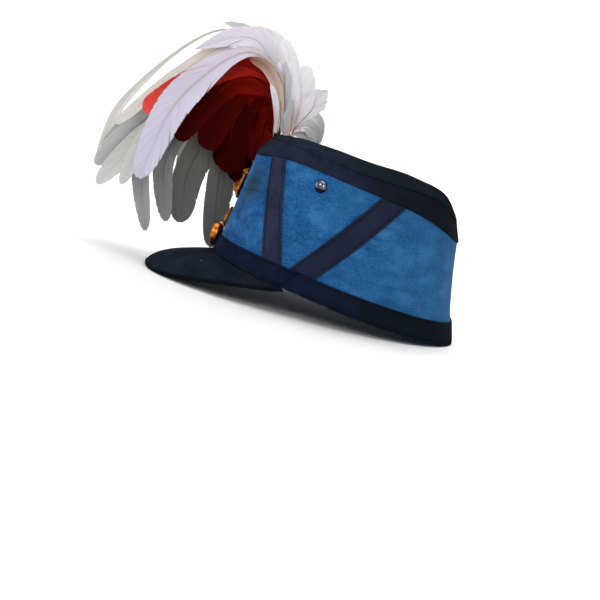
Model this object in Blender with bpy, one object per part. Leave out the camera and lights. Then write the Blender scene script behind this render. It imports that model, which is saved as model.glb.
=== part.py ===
"""Shako hat: a felt crown with cloth bands and a peak, gilt badges, and a plume of drooping feathers.

Sizes are in millimetres in the hat's own frame: forward is towards the peak, left is the wearer's
left, up is square to the rim, and the origin is the middle of the rim. The finished hat stands on
the low edge of its peak and the back of its rim.
"""
import math
from collections import namedtuple

import bmesh
import bpy
from mathutils import Vector

MM = 0.001
GAP = 0.3                     # air left between two pieces that touch

# The crown is drawn through three ovals: the rim, the fold where it turns in, and the top seam.
Oval = namedtuple("Oval", "centre half_length half_width")
RIM = Oval(-0.5, 101.5, 81.0)
FOLD = Oval(11.7, 86.9, 70.0)
SEAM = Oval(11.2, 78.4, 62.0)

RIM_FRONT_DIP = 4.0           # the rim dips at the front, and is flat round the back
FOLD_SIDE_HEIGHT = 90.2
FOLD_END_DROP = 14.5          # how much lower the fold is towards the front and at the back
FOLD_FRONT_LIFT = 4.7         # how much of that the very front regains
SEAM_HEIGHTS = (              # degrees round from the front, height
    (0, 98.0), (30, 98.8), (60, 100.8), (90, 101.5),
    (120, 104.5), (140, 103.5), (160, 94.0), (180, 89.0),
)
TOP_DOME = (                  # forward place, how far the top cloth swells above its seam
    (-68, 0), (-45, 1.0), (-15, 4.0), (15, 2.0), (50, -1.5), (90, 0),
)
BACK_HOLLOW = 1.9             # the felt draws in between rim and fold, most at the back

FELT_INSET = 0.6
FELT_THICKNESS = 2.0
CLOTH_THICKNESS = 1.1
TOP_CLOTH_THICKNESS = 1.5
HEAD_BAND_FRONT = 14.2        # height of the head band at the front
HEAD_BAND_BACK = 17.3         # and at the back

PEAK_END_ANGLE = 69.0         # degrees from the front where the peak runs out
PEAK_BACK = 31.0              # forward place of its ends
PEAK_LENGTH = 117.5           # from its ends to its tip
PEAK_HALF_WIDTH = 80.0
PEAK_FULLNESS = 2.15          # 2 is an ellipse; more is squarer
PEAK_THICKNESS = 2.5
PEAK_ARCH = 9.0               # how far its middle line swells above a straight slope
PEAK_EDGE_DROP = (            # forward place on the edge, depth of its underside below the rim
    (31, 3.5), (60, 12.3), (99, 24.8), (135, 35.3), (150, 36.3),
)

# Both arms of the V, as degrees round from the front at the head band and at the fold.
Ribbon = namedtuple("Ribbon", "name low_front low_back high_front high_back")
RIBBONS = (
    Ribbon("front", 56.0, 67.5, 37.0, 48.5),
    Ribbon("back", 71.5, 84.0, 104.0, 118.0),
)

STUD_ANGLE = 73.5
STUD_LEVEL = 0.888
STUD_PROFILE = (              # radius, height above the felt
    (4.6, 0.0), (4.8, 0.5), (4.35, 1.8), (3.4, 2.7), (2.05, 3.3), (0.7, 3.57),
)

CREST_HEIGHT = 51.0           # middle of the upper badge above the rim plane
CREST_HALF_HEIGHT = 12.0
CREST_HALF_WIDTH = 11.0
CREST_ROWS = (                # share of the full outline, height above the felt
    (1.0, 0.0), (1.0, 1.6), (0.94, 2.1), (0.82, 2.1), (0.76, 1.6), (0.55, 2.1), (0.32, 4.3), (0.12, 4.8),
)
SHIELD_RIGHT_SIDE = (         # sideways, up, as shares of the half sizes; from the top middle down
    (0.0, 1.0), (0.35, 0.72), (0.72, 0.78), (1.0, 0.62), (0.98, 0.1), (0.80, -0.35), (0.45, -0.74),
)
BOSS_HEIGHT = 23.0
BOSS_PROFILE = (              # radius, height above the felt
    (7.9, 0.0), (8.5, 0.6), (8.1, 1.3), (6.7, 1.5), (6.3, 1.2), (5.0, 2.3), (3.0, 3.1), (1.0, 3.4),
)
BUTTON_HEIGHT = 6.8
BUTTON_PETALS = 6
BUTTON_ROWS = (               # radius, height above the band, depth of the grooves between petals
    (8.4, 0.0, 0.0), (9.8, 1.0, 0.0), (9.8, 3.0, 0.0), (8.9, 3.6, 0.0), (7.8, 2.9, 0.0),
    (7.0, 3.6, 1.1), (5.0, 5.4, 1.3), (2.6, 6.0, 0.5), (0.9, 6.6, 0.0),
)

SOCKET_ANGLE = -33.0          # the plume's sleeve is on the wearer's right of the front
SOCKET_LOW_LEVEL = 0.62
SOCKET_HIGH_LEVEL = 0.93
SOCKET_RADIUS = 7.0
SOCKET_BORE = 5.6
SOCKET_FLOOR = 1.5
SOCKET_AIR = 0.8              # between the sleeve and the felt

# The feathers are drawn in the plume's own axes, which lean forward from the hat's.
PLUME_BASE = (90.5, -41.0, 94.0)      # forward, left, up
PLUME_LEAN = 22.9
FOOT_RADIUS = 7.0
FOOT_TOP = 16.0                       # how far the bound foot reaches above the base
FOOT_STEPS = 14
QUILL_SPREAD = (0.25, 0.85)           # shares of the foot's radius that the quills start between
NECK_SHARE = 0.62                     # share of the crest's height where a feather starts to bend
QUILL_WIDTH = 2.0
FEATHER_THICKNESS = 1.5
SIDE_BOW = 1.3                        # a feather strays sideways late in its length
GOLDEN_SHARE = 0.618                  # spreads the quills over the foot

# out and up are measured from the base; side is the tip's place to the wearer's left of the middle;
# turn is how far the vane leans out of the plane that the feather droops in.
Feather = namedtuple("Feather", "colour width turn crest_out crest_up fall_out fall_up tip_out tip_up side")
FEATHERS = (
    Feather("white", 30, 18, 13, 71, 76, 32, 107, -30, 12),
    Feather("white", 20, 40, 19, 78, 37, 81, 62, 75, -20),
    Feather("white", 6, 10, 9, 70, 25, 87, 48, 94, -48),
    Feather("white", 14, -40, 46, 89, 134, 32, 162, -18, -55),
    Feather("white", 20, 45, 29, 79, 82, 55, 137, 12, -35),
    Feather("white", 27, -42, 21, 62, 101, 24, 158, -22, -45),
    Feather("white", 27, 40, 30, 53, 102, 10, 153, -35, -28),
    Feather("white", 18, 35, 32, 52, 99, 13, 129, -35, -15),
    Feather("white", 25, -50, 26, 74, 125, 33, 161, -14, -60),
    Feather("white", 20, 35, 38, 48, 111, -10, 112, -75, -30),
    Feather("white", 24, 36, 33, 44, 95, -10, 97, -66, -42),
    Feather("white", 28, -40, 26, 39, 79, -27, 90, -69, -55),
    Feather("white", 24, -40, 25, 31, 49, -13, 63, -87, -68),
    Feather("white", 30, 35, -21, 38, -28, 39, -36, 31, -30),
    Feather("white", 24, -45, -20, 17, -27, 9, -30, -8, -78),
    Feather("white", 16, 35, -9, 50, -6, 66, -2, 75, -40),
    Feather("white", 24, 45, 7, 73, 18, 79, 28, 77, -34),
    Feather("white", 16, 30, 10, 64, 21, 67, 31, 64, -10),
    Feather("white", 13, 12, 15, 11, 25, -8, 34, -38, -46),
    Feather("white", 27, -55, 20, 70, 90, 40, 128, -20, -82),
    Feather("white", 27, -50, 15, 60, 70, 20, 95, -50, -84),
    Feather("white", 27, -50, 10, 50, 45, 0, 60, -60, -84),
    Feather("white", 26, -50, -10, 42, -24, 18, -30, -14, -80),
    Feather("red", 20, 25, 27, 58, 72, 43, 105, 23, -12),
    Feather("red", 25, 28, 34, 45, 51, 36, 82, -1, -18),
    Feather("red", 24, -30, 26, 40, 46, 24, 61, -9, -28),
    Feather("red", 32, 22, 21, 33, 40, 9, 39, -29, -35),
    Feather("red", 22, 20, 19, 20, 26, 3, 38, -36, -40),
    Feather("red", 25, -38, 25, 40, 45, 16, 51, -24, -48),
    Feather("red", 25, -50, 25, 50, 70, 25, 90, -15, -60),
    Feather("red", 22, -42, 15, 38, 35, 5, 38, -40, -64),
)
FEATHER_SHAPE = (             # share of the length, share of the full width
    (0.0, 0.12), (0.18, 0.14), (0.34, 0.55), (0.50, 0.92),
    (0.68, 1.0), (0.84, 0.90), (0.95, 0.60), (1.0, 0.22),
)

CROWN_STEPS = 60              # points round a full oval
WALL_LEVELS = (0.0, 0.33, 0.67, 1.0)
TOP_SHARES = (0.12, 0.55, 0.9, 1.0)
TOP_EDGE_ROUNDING = 0.4
PEAK_STEPS = 38
PEAK_ROWS = (0.0, 0.25, 0.5, 0.7, 0.85, 0.95, 1.0)
RIBBON_STEPS = 8
RIBBON_SHARES = (0.0, 0.33, 0.67, 1.0)
ROUND_STEPS = 18
PATH_STEPS = 8


# ---------------------------------------------------------------- small tools

def smooth_value(rows, place):
    """Reads a table of (place, value) rows as one smooth curve."""
    places = [row[0] for row in rows]
    values = [row[1] for row in rows]
    last = len(rows) - 1
    place = min(max(place, places[0]), places[last])
    i = max(k for k in range(last) if places[k] <= place)
    slopes = []
    for k in (i, i + 1):
        before, after = max(k - 1, 0), min(k + 1, last)
        slopes.append((values[after] - values[before]) / (places[after] - places[before]))
    span = places[i + 1] - places[i]
    t = (place - places[i]) / span
    return (values[i] * (2 * t**3 - 3 * t**2 + 1) + values[i + 1] * (3 * t**2 - 2 * t**3)
            + span * (slopes[0] * (t**3 - 2 * t**2 + t) + slopes[1] * (t**3 - t**2)))


def smooth_path(points, steps):
    """A smooth curve through the points, with the given number of steps between two of them."""
    ends = [points[0] * 2 - points[1]] + points + [points[-1] * 2 - points[-2]]
    path = []
    for before, start, end, after in zip(ends, ends[1:], ends[2:], ends[3:]):
        d0, d1, d2 = ((b - a).length**0.5 for a, b in ((before, start), (start, end), (end, after)))
        leave = ((start - before) / d0 - (end - before) / (d0 + d1) + (end - start) / d1) * d1
        arrive = ((end - start) / d1 - (after - start) / (d1 + d2) + (after - end) / d2) * d1
        for k in range(steps):
            t = k / steps
            path.append(start * (2 * t**3 - 3 * t**2 + 1) + leave * (t**3 - 2 * t**2 + t)
                        + end * (3 * t**2 - 2 * t**3) + arrive * (t**3 - t**2))
    return path + [points[-1]]


def blend(first, second, share):
    return first + (second - first) * share


def blend_ovals(first, second, share):
    return Oval(*(blend(a, b, share) for a, b in zip(first, second)))


def hat_point(forward, left, up):
    """A point of the hat's frame in Blender's axes, in metres: the front looks along -Y."""
    return Vector((left, -forward, up)) * MM


def material(name, colour, roughness, metallic=0.0):
    made = bpy.data.materials.new(name)
    made.use_nodes = True
    shader = made.node_tree.nodes["Principled BSDF"]
    shader.inputs["Base Color"].default_value = (*colour, 1.0)
    shader.inputs["Roughness"].default_value = roughness
    shader.inputs["Metallic"].default_value = metallic
    return made


def add_piece(name, vertices, faces, finish, parent, smooth_angle=35.0):
    mesh = bpy.data.meshes.new(name)
    mesh.from_pydata(vertices, [], faces)
    shell = bmesh.new()
    shell.from_mesh(mesh)
    bmesh.ops.recalc_face_normals(shell, faces=shell.faces)
    bmesh.ops.triangulate(shell, faces=shell.faces)
    shell.to_mesh(mesh)
    shell.free()
    mesh.materials.append(finish)
    mesh.shade_smooth()
    mesh.set_sharp_from_angle(angle=math.radians(smooth_angle))
    piece = bpy.data.objects.new(name, mesh)
    bpy.context.collection.objects.link(piece)
    piece.parent = parent
    return piece


def loft(sections, ring=False):
    """Vertices and faces of a skin over closed sections; the ends are capped unless it is a ring."""
    count = len(sections[0])
    vertices = [point for section in sections for point in section]
    faces = []
    for i in range(len(sections) if ring else len(sections) - 1):
        here, there = i * count, (i + 1) % len(sections) * count
        for j in range(count):
            k = (j + 1) % count
            faces.append((here + j, there + j, there + k, here + k))
    if not ring:
        faces.append(tuple(range(count)))
        faces.append(tuple(reversed(range(len(vertices) - count, len(vertices)))))
    return vertices, faces


def fuse(body, addition):
    """Joins the addition to the body as one closed solid, and removes it."""
    joint = body.modifiers.new("fuse", "BOOLEAN")
    joint.operation = "UNION"
    joint.solver = "EXACT"
    joint.object = addition
    bpy.context.view_layer.update()
    graph = bpy.context.evaluated_depsgraph_get()
    whole = bpy.data.meshes.new_from_object(body.evaluated_get(graph))
    body.modifiers.remove(joint)
    body.data = whole
    bpy.data.objects.remove(addition, do_unlink=True)


def circle(centre, across, along, radius, steps=ROUND_STEPS):
    turns = (2 * math.pi * k / steps for k in range(steps))
    return [centre + (across * math.cos(a) + along * math.sin(a)) * radius for a in turns]


# ---------------------------------------------------------------- the crown's shape

def rim_height(angle):
    return -RIM_FRONT_DIP * max(0.0, math.cos(angle))**2


def fold_height(angle):
    front = FOLD_FRONT_LIFT * max(0.0, math.cos(angle))**24
    return FOLD_SIDE_HEIGHT - FOLD_END_DROP * math.cos(angle)**4 + front


def seam_height(angle):
    from_front = abs(math.degrees(math.remainder(angle, 2 * math.pi)))
    return smooth_value(SEAM_HEIGHTS, from_front)


def crown_point(angle, level, inset=0.0):
    """A point of the crown: level 0 is the rim, 1 the fold and 2 the top seam."""
    if level <= 1:
        oval = blend_ovals(RIM, FOLD, level)
        height = blend(rim_height(angle), fold_height(angle), level)
        inset += BACK_HOLLOW * math.sin(math.pi * level) * (1 - math.cos(angle)) / 2
    else:
        oval = blend_ovals(FOLD, SEAM, level - 1)
        height = blend(fold_height(angle), seam_height(angle), level - 1)
    forward = oval.centre + (oval.half_length - inset) * math.cos(angle)
    return hat_point(forward, (oval.half_width - inset) * math.sin(angle), height)


def head_band_level(angle):
    """The level of the head band's top edge."""
    height = blend(HEAD_BAND_FRONT, HEAD_BAND_BACK, (1 - math.cos(angle)) / 2)
    return height / (fold_height(angle) - rim_height(angle))


def oval_angles(steps=CROWN_STEPS):
    return [2 * math.pi * k / steps for k in range(steps)]


def lower(point, depth):
    return point - Vector((0, 0, depth * MM))


# ---------------------------------------------------------------- the pieces

def crown_wall(finish, parent):
    """Felt wall, open below; it stops just under the top cloth."""
    sections = []
    for angle in oval_angles():
        outside = [crown_point(angle, level, FELT_INSET) for level in WALL_LEVELS]
        outside.append(lower(crown_point(angle, 2.0, FELT_INSET), TOP_CLOTH_THICKNESS + GAP))
        inset = FELT_INSET + FELT_THICKNESS
        inside = [crown_point(angle, level, inset) for level in WALL_LEVELS]
        inside.append(lower(crown_point(angle, 2.0, inset), TOP_CLOTH_THICKNESS + GAP))
        sections.append(outside + inside[::-1])
    add_piece("crown_wall", *loft(sections, ring=True), finish, parent)


def cloth_strip(name, low, high, finish, parent):
    """A band of cloth on the crown; low and high give the level of its edges at an angle."""
    outer = FELT_INSET - GAP - CLOTH_THICKNESS
    sections = []
    for angle in oval_angles():
        levels = (low(angle), high(angle))
        outside = [crown_point(angle, level, outer) for level in levels]
        inside = [crown_point(angle, level, outer + CLOTH_THICKNESS) for level in levels]
        sections.append(outside + inside[::-1])
    add_piece(name, *loft(sections, ring=True), finish, parent)


def head_band(finish, parent):
    cloth_strip("head_band", lambda angle: 0.0, head_band_level, finish, parent)


def top_band(finish, parent):
    def high(angle):
        rise = seam_height(angle) - fold_height(angle)
        return 2.0 - (TOP_CLOTH_THICKNESS + GAP) / rise
    cloth_strip("top_band", lambda angle: 1.0, high, finish, parent)


def crown_top(finish, parent):
    """Top cloth: it arches from front to back, with a low dome between its sides."""
    outer = FELT_INSET - GAP - CLOTH_THICKNESS

    def ring(share, depth):
        points = []
        for angle in oval_angles():
            edge = crown_point(angle, 2.0, outer)
            middle = hat_point(SEAM.centre, 0, 0)
            point = middle + (edge - middle) * share
            reach = (-point.y / MM - SEAM.centre) / (SEAM.half_length - outer)
            height = seam_height(math.acos(max(-1.0, min(1.0, reach))))
            height += smooth_value(TOP_DOME, -point.y / MM) * (1 - share**2)
            points.append(Vector((point.x, point.y, (height - depth) * MM)))
        return points

    sections = [ring(share, TOP_EDGE_ROUNDING if share == 1.0 else 0.0) for share in TOP_SHARES]
    sections += [ring(share, TOP_CLOTH_THICKNESS) for share in reversed(TOP_SHARES)]
    add_piece("crown_top", *loft(sections), finish, parent)


def peak_edge(share):
    """The peak's edge in plan, for a share of -1 to 1 from its right end to its left end."""
    turn = math.pi / 2 * share
    cosine, sine = abs(math.cos(turn)), math.sin(turn)
    forward = PEAK_BACK + PEAK_LENGTH * cosine**(2 / PEAK_FULLNESS)
    left = PEAK_HALF_WIDTH * math.copysign(abs(sine)**(2 / PEAK_FULLNESS), sine)
    return forward, left


def peak_swell(share, row):
    """How far the peak stands above a straight slope: most in the middle, two thirds of the way out."""
    across = max(0.0, math.cos(math.pi / 2 * share))**1.5
    return PEAK_ARCH * across * 2.0 * row**1.6 * (1 - row)**0.6


def peak(finish, parent):
    sections = []
    for k in range(PEAK_STEPS + 1):
        share = 2 * k / PEAK_STEPS - 1
        angle = math.radians(PEAK_END_ANGLE) * share
        root = lower(crown_point(angle, 0.0, FELT_INSET + FELT_THICKNESS), GAP)
        forward, left = peak_edge(share)
        tip = hat_point(forward, left, PEAK_THICKNESS - smooth_value(PEAK_EDGE_DROP, forward))
        top = [lower(blend(root, tip, row), -peak_swell(share, row)) for row in PEAK_ROWS]
        sections.append(top + [lower(point, PEAK_THICKNESS) for point in reversed(top)])
    add_piece("peak", *loft(sections), finish, parent)


def ribbon(name, shape, side, finish, parent):
    """One arm of a V: a strip of cloth on the felt, from the head band up to the fold."""
    outer = FELT_INSET - GAP - CLOTH_THICKNESS
    sections = []
    for k in range(RIBBON_STEPS + 1):
        share = k / RIBBON_STEPS
        front = math.radians(blend(shape.low_front, shape.high_front, share)) * side
        back = math.radians(blend(shape.low_back, shape.high_back, share)) * side
        outside, inside = [], []
        for across in RIBBON_SHARES:
            angle = blend(front, back, across)
            margin = GAP / (fold_height(angle) - rim_height(angle))
            level = blend(head_band_level(angle) + margin, 1.0 - margin, share)
            outside.append(crown_point(angle, level, outer))
            inside.append(crown_point(angle, level, outer + CLOTH_THICKNESS))
        sections.append(outside + inside[::-1])
    add_piece(name, *loft(sections), finish, parent)


def outward(angle, level):
    """The direction that points straight out of the crown."""
    step = 0.01
    round_it = crown_point(angle + step, level) - crown_point(angle - step, level)
    up_it = crown_point(angle, level + step) - crown_point(angle, level - step)
    return round_it.cross(up_it).normalized()


def felt_front(height, air=GAP):
    """A place on the middle of the front, where the gilt pieces sit, and the way it faces."""
    level = (height - rim_height(0.0)) / (fold_height(0.0) - rim_height(0.0))
    return crown_point(0.0, level, FELT_INSET - air), outward(0.0, level)


def turned_piece(name, centre, normal, profile, finish, parent):
    """A round piece turned from a profile of (radius, height) rows, from its back to its face."""
    sideways = Vector((0, 0, 1)).cross(normal).normalized()
    upward = normal.cross(sideways)
    sections = [circle(centre + normal * height * MM, sideways, upward, radius * MM)
                for radius, height in profile]
    add_piece(name, *loft(sections), finish, parent)


def stud(name, side, finish, parent):
    angle = math.radians(STUD_ANGLE) * side
    normal = outward(angle, STUD_LEVEL)
    centre = crown_point(angle, STUD_LEVEL, FELT_INSET) + normal * GAP * MM
    turned_piece(name, centre, normal, STUD_PROFILE, finish, parent)


def badge_boss(finish, parent):
    turned_piece("badge_boss", *felt_front(BOSS_HEIGHT), BOSS_PROFILE, finish, parent)


def band_button(finish, parent):
    """Thick gilt button: a raised rim round a low rosette."""
    centre, normal = felt_front(BUTTON_HEIGHT, GAP + CLOTH_THICKNESS + GAP)
    upward = normal.cross(Vector((1, 0, 0)))
    steps = 4 * BUTTON_PETALS
    sections = []
    for radius, height, groove in BUTTON_ROWS:
        section = []
        for k in range(steps):
            turn = 2 * math.pi * k / steps
            rise = height - groove * (1 - math.cos(BUTTON_PETALS * turn)) / 2
            sideways = Vector((1, 0, 0)) * math.cos(turn) + upward * math.sin(turn)
            section.append(centre + (sideways * radius + normal * rise) * MM)
        sections.append(section)
    add_piece("band_button", *loft(sections), finish, parent)


def crest_badge(finish, parent):
    """Gilt shield with a pointed top, a raised edge and a low boss in its middle."""
    centre, normal = felt_front(CREST_HEIGHT)
    upward = normal.cross(Vector((1, 0, 0)))
    left_side = [(-x, y) for x, y in reversed(SHIELD_RIGHT_SIDE[1:])]
    outline = [*SHIELD_RIGHT_SIDE, (0.0, -1.0), *left_side]
    sections = []
    for scale, height in CREST_ROWS:
        width, tall = CREST_HALF_WIDTH * scale, CREST_HALF_HEIGHT * scale
        sections.append([centre + (Vector((x * width, 0, 0)) + upward * y * tall + normal * height) * MM
                         for x, y in outline])
    add_piece("crest_badge", *loft(sections), finish, parent)


def socket_axis(level):
    """A point on the middle line of the plume's sleeve, which lies along the felt."""
    return crown_point(math.radians(SOCKET_ANGLE), level, FELT_INSET - SOCKET_AIR - SOCKET_RADIUS)


def plume_socket(finish, parent):
    low, high = socket_axis(SOCKET_LOW_LEVEL), socket_axis(SOCKET_HIGH_LEVEL)
    along = (high - low).normalized()
    across = along.orthogonal().normalized()
    other = along.cross(across)
    inner_low = low + along * SOCKET_FLOOR * MM
    rings = ((low, SOCKET_RADIUS), (high, SOCKET_RADIUS), (high, SOCKET_BORE), (inner_low, SOCKET_BORE))
    sections = [circle(centre, across, other, radius * MM) for centre, radius in rings]
    add_piece("plume_socket", *loft(sections), finish, parent)


# ---------------------------------------------------------------- the plume

def plume_point(out, up, left):
    """A point of the plume's leaning axes; left is measured from the middle of the hat."""
    lean = math.radians(PLUME_LEAN)
    base_forward, _, base_up = PLUME_BASE
    forward = base_forward + out * math.cos(lean) + up * math.sin(lean)
    return hat_point(forward, left, base_up - out * math.sin(lean) + up * math.cos(lean))


def feather_path(shape, number):
    """The shaft's curve: up out of the foot, over the crest, and down past the fall to the tip."""
    heading = math.atan2(shape.side - PLUME_BASE[1], shape.fall_out)
    spread = FOOT_RADIUS * blend(*QUILL_SPREAD, number * GOLDEN_SHARE % 1.0)
    start_out, start_side = spread * math.cos(heading), spread * math.sin(heading)
    neck = (start_out * 0.7 + min(0.0, 0.4 * shape.crest_out), NECK_SHARE * shape.crest_up)
    stops = [(start_out, 0.0), neck, (shape.crest_out, shape.crest_up), (shape.fall_out, shape.fall_up),
             (shape.tip_out, shape.tip_up)]
    lengths = [0.0]
    for here, there in zip(stops, stops[1:]):
        lengths.append(lengths[-1] + math.dist(here, there))
    base_side = PLUME_BASE[1] + start_side
    points = []
    for (out, up), length in zip(stops, lengths):
        side = base_side + (shape.side - base_side) * (length / lengths[-1])**SIDE_BOW
        points.append(plume_point(out, up, side))
    return smooth_path(points, PATH_STEPS)


def along_path(path, share):
    """The point and direction at a share of the path's length."""
    lengths = [0.0]
    for here, there in zip(path, path[1:]):
        lengths.append(lengths[-1] + (there - here).length)
    goal = share * lengths[-1]
    i = max(k for k in range(len(path) - 1) if lengths[k] <= goal + 1e-9)
    step = path[i + 1] - path[i]
    return path[i] + step * ((goal - lengths[i]) / step.length), step.normalized()


def feather_sections(shape, number):
    """Four-cornered sections of one feather: two edges, and the ridge and the hollow of its shaft."""
    path = feather_path(shape, number)
    sideways = Vector((1, 0, 0))
    sections = []
    for share, width in FEATHER_SHAPE:
        centre, along = along_path(path, share)
        in_plane = along.cross(sideways).normalized()
        flat = along.cross(in_plane).normalized()
        turn = math.radians(shape.turn)
        across = in_plane * math.cos(turn) + flat * math.sin(turn)
        normal = along.cross(across).normalized()
        half_width = max(width * shape.width, QUILL_WIDTH) / 2 * MM
        half_thickness = FEATHER_THICKNESS / 2 * MM
        sections.append([centre - across * half_width, centre + normal * half_thickness,
                         centre + across * half_width, centre - normal * half_thickness])
    return sections


def plume(finish, parent):
    """The bound foot, with every feather fused to it."""
    low, high = socket_axis(SOCKET_LOW_LEVEL), socket_axis(SOCKET_HIGH_LEVEL)
    along_socket = (high - low).normalized()
    base = plume_point(0, 0, PLUME_BASE[1])
    rows = (                  # middle, radius, direction
        (low + along_socket * (SOCKET_FLOOR + GAP) * MM, SOCKET_BORE - GAP, along_socket),
        (high + along_socket * MM, SOCKET_BORE - GAP, along_socket),
        (base, FOOT_RADIUS, base - high),
        (plume_point(-1, FOOT_TOP, PLUME_BASE[1]), FOOT_RADIUS * 0.8, Vector((0, 0, 1))),
    )
    sections = []
    for centre, radius, along in rows:
        sideways = along.cross(Vector((0, 1, 0))).normalized()
        sections.append(circle(centre, sideways, along.cross(sideways).normalized(), radius * MM, FOOT_STEPS))
    foot = add_piece("plume", *loft(sections), finish, parent)
    for number, shape in enumerate(FEATHERS):
        fuse(foot, add_piece("feather", *loft(feather_sections(shape, number)), finish, parent))


# ---------------------------------------------------------------- standing the hat down

def rest_pitch():
    """The angle that the front rises by when the hat stands on its peak and the back of its rim."""
    back = RIM.half_length - RIM.centre - (FELT_INSET - GAP - CLOTH_THICKNESS)
    pitches = []
    for k in range(PEAK_STEPS + 1):
        forward, _ = peak_edge(2 * k / PEAK_STEPS - 1)
        pitches.append(math.atan2(smooth_value(PEAK_EDGE_DROP, forward), forward + back))
    return max(pitches)


def stand_down(pose):
    """Moves the pose so that the middle of the hat's lowest level is the origin."""
    pose.rotation_euler = (-rest_pitch(), 0, 0)
    bpy.context.view_layer.update()
    graph = bpy.context.evaluated_depsgraph_get()
    corners = []
    for piece in pose.children:
        if not piece.hide_render:
            shown = piece.evaluated_get(graph)
            corners += [shown.matrix_world @ vertex.co for vertex in shown.data.vertices]
    low = [min(corner[axis] for corner in corners) for axis in range(3)]
    high = [max(corner[axis] for corner in corners) for axis in range(3)]
    pose.location = (-(low[0] + high[0]) / 2, -(low[1] + high[1]) / 2, -low[2])


def build():
    for old in list(bpy.data.objects):
        bpy.data.objects.remove(old, do_unlink=True)
    pose = bpy.data.objects.new("hat_pose", None)
    bpy.context.collection.objects.link(pose)

    felt = material("blue_felt", (0.035, 0.15, 0.36), 0.95)
    band_cloth = material("navy_band_cloth", (0.012, 0.015, 0.038), 0.9)
    ribbon_cloth = material("navy_ribbon", (0.022, 0.024, 0.055), 0.85)
    top_cloth = material("navy_top_cloth", (0.011, 0.016, 0.024), 0.92)
    peak_cloth = material("navy_peak_cloth", (0.010, 0.014, 0.022), 0.88)
    nickel = material("nickel", (0.62, 0.62, 0.66), 0.28, 1.0)
    gilt = material("gilt", (0.78, 0.40, 0.06), 0.35, 1.0)
    socket_cloth = material("socket_cloth", (0.015, 0.015, 0.02), 0.9)
    feather = material("feather_white", (0.75, 0.72, 0.78), 0.7)

    crown_wall(felt, pose)
    crown_top(top_cloth, pose)
    top_band(band_cloth, pose)
    head_band(band_cloth, pose)
    peak(peak_cloth, pose)
    for side_name, side in (("left", 1), ("right", -1)):
        for shape in RIBBONS:
            ribbon(f"ribbon_{side_name}_{shape.name}", shape, side, ribbon_cloth, pose)
        stud(f"stud_{side_name}", side, nickel, pose)
    crest_badge(gilt, pose)
    badge_boss(gilt, pose)
    band_button(gilt, pose)
    plume_socket(socket_cloth, pose)
    plume(feather, pose)
    stand_down(pose)


build()
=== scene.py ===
"""Looks of the shako hat: felt, cloth, ribbon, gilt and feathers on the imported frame.

Lengths in the tables are millimetres in the hat's own frame: forward is towards the peak, left is
the wearer's left, up is square to the rim, and the origin is the middle of the rim.
"""
import math
import random
from bisect import bisect_right
from collections import namedtuple

import bmesh
import bpy
from mathutils import Matrix, Vector, noise


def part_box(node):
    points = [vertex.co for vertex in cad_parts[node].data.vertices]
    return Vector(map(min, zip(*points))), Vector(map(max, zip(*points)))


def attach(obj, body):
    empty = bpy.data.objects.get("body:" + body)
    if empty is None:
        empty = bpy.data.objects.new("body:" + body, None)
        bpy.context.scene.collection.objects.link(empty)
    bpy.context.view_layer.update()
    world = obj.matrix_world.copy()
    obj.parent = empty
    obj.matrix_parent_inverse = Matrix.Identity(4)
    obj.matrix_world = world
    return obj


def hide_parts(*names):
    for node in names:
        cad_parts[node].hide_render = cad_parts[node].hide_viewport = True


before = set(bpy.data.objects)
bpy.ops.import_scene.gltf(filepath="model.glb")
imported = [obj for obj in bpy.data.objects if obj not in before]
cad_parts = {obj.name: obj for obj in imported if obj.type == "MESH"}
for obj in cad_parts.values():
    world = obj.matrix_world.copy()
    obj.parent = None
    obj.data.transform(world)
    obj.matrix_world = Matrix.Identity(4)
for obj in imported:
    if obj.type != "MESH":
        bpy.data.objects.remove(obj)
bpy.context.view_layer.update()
bpy.ops.object.select_all(action="DESELECT")

MM = 0.001
GAP = 0.3                     # air between neighbouring pieces
SIDES = (("left", 1), ("right", -1))

# ---------------------------------------------------------------- the hat's sizes

Oval = namedtuple("Oval", "centre half_length half_width")
RIM = Oval(-0.5, 101.5, 81.0)
FOLD = Oval(11.7, 86.9, 70.0)
SEAM = Oval(11.2, 78.4, 62.0)
RIM_FRONT_DIP = 4.0
FOLD_SIDE_HEIGHT = 90.2
FOLD_END_DROP = 14.5
FOLD_FRONT_LIFT = 4.7
SEAM_HEIGHTS = (              # degrees round from the front, height
    (0, 96.4), (15, 97.4), (30, 98.8), (60, 100.8), (90, 101.5),
    (120, 104.5), (140, 103.5), (160, 94.0), (180, 89.0),
)
TOP_DOME = (                  # forward place, how far the top cloth swells above its seam
    (-68, 0), (-45, 1.0), (-15, 4.0), (15, 2.0), (50, -1.5), (90, 0),
)
BACK_HOLLOW = 1.9
FELT_INSET = 0.6
FELT_THICKNESS = 2.0
FELT_TURN = 0.86              # share of the felt's height where it turns in under the top cloth
PUCKER_REACH = 9.0            # how far the felt puckers beside a ribbon
MM_A_DEGREE = 1.45            # round the crown
CLOTH_THICKNESS = 1.1
CLOTH_OUTER = FELT_INSET - GAP - CLOTH_THICKNESS
TOP_CLOTH_THICKNESS = 1.5
HEAD_BAND_FRONT = 14.2
HEAD_BAND_BACK = 17.3
LAP_LOW_ANGLE = 70.0          # degrees round from the front, at the rim and at the band's top
LAP_HIGH_ANGLE = 76.5
LAP_WIDTH = 11.0
HEAD_BAND_SEAMS = (0.13, 0.86)
TOP_BAND_SEAMS = (0.83,)
TOP_BAND_TURN = 0.90          # share of the band's height where it rolls over the top edge
TOP_BAND_TURN_LEVEL = 1.97
CROWN_STEPS = 60              # points round each oval of the frame's own crown
WALL_LEVELS = (0.0, 0.33, 0.67, 1.0)

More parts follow.
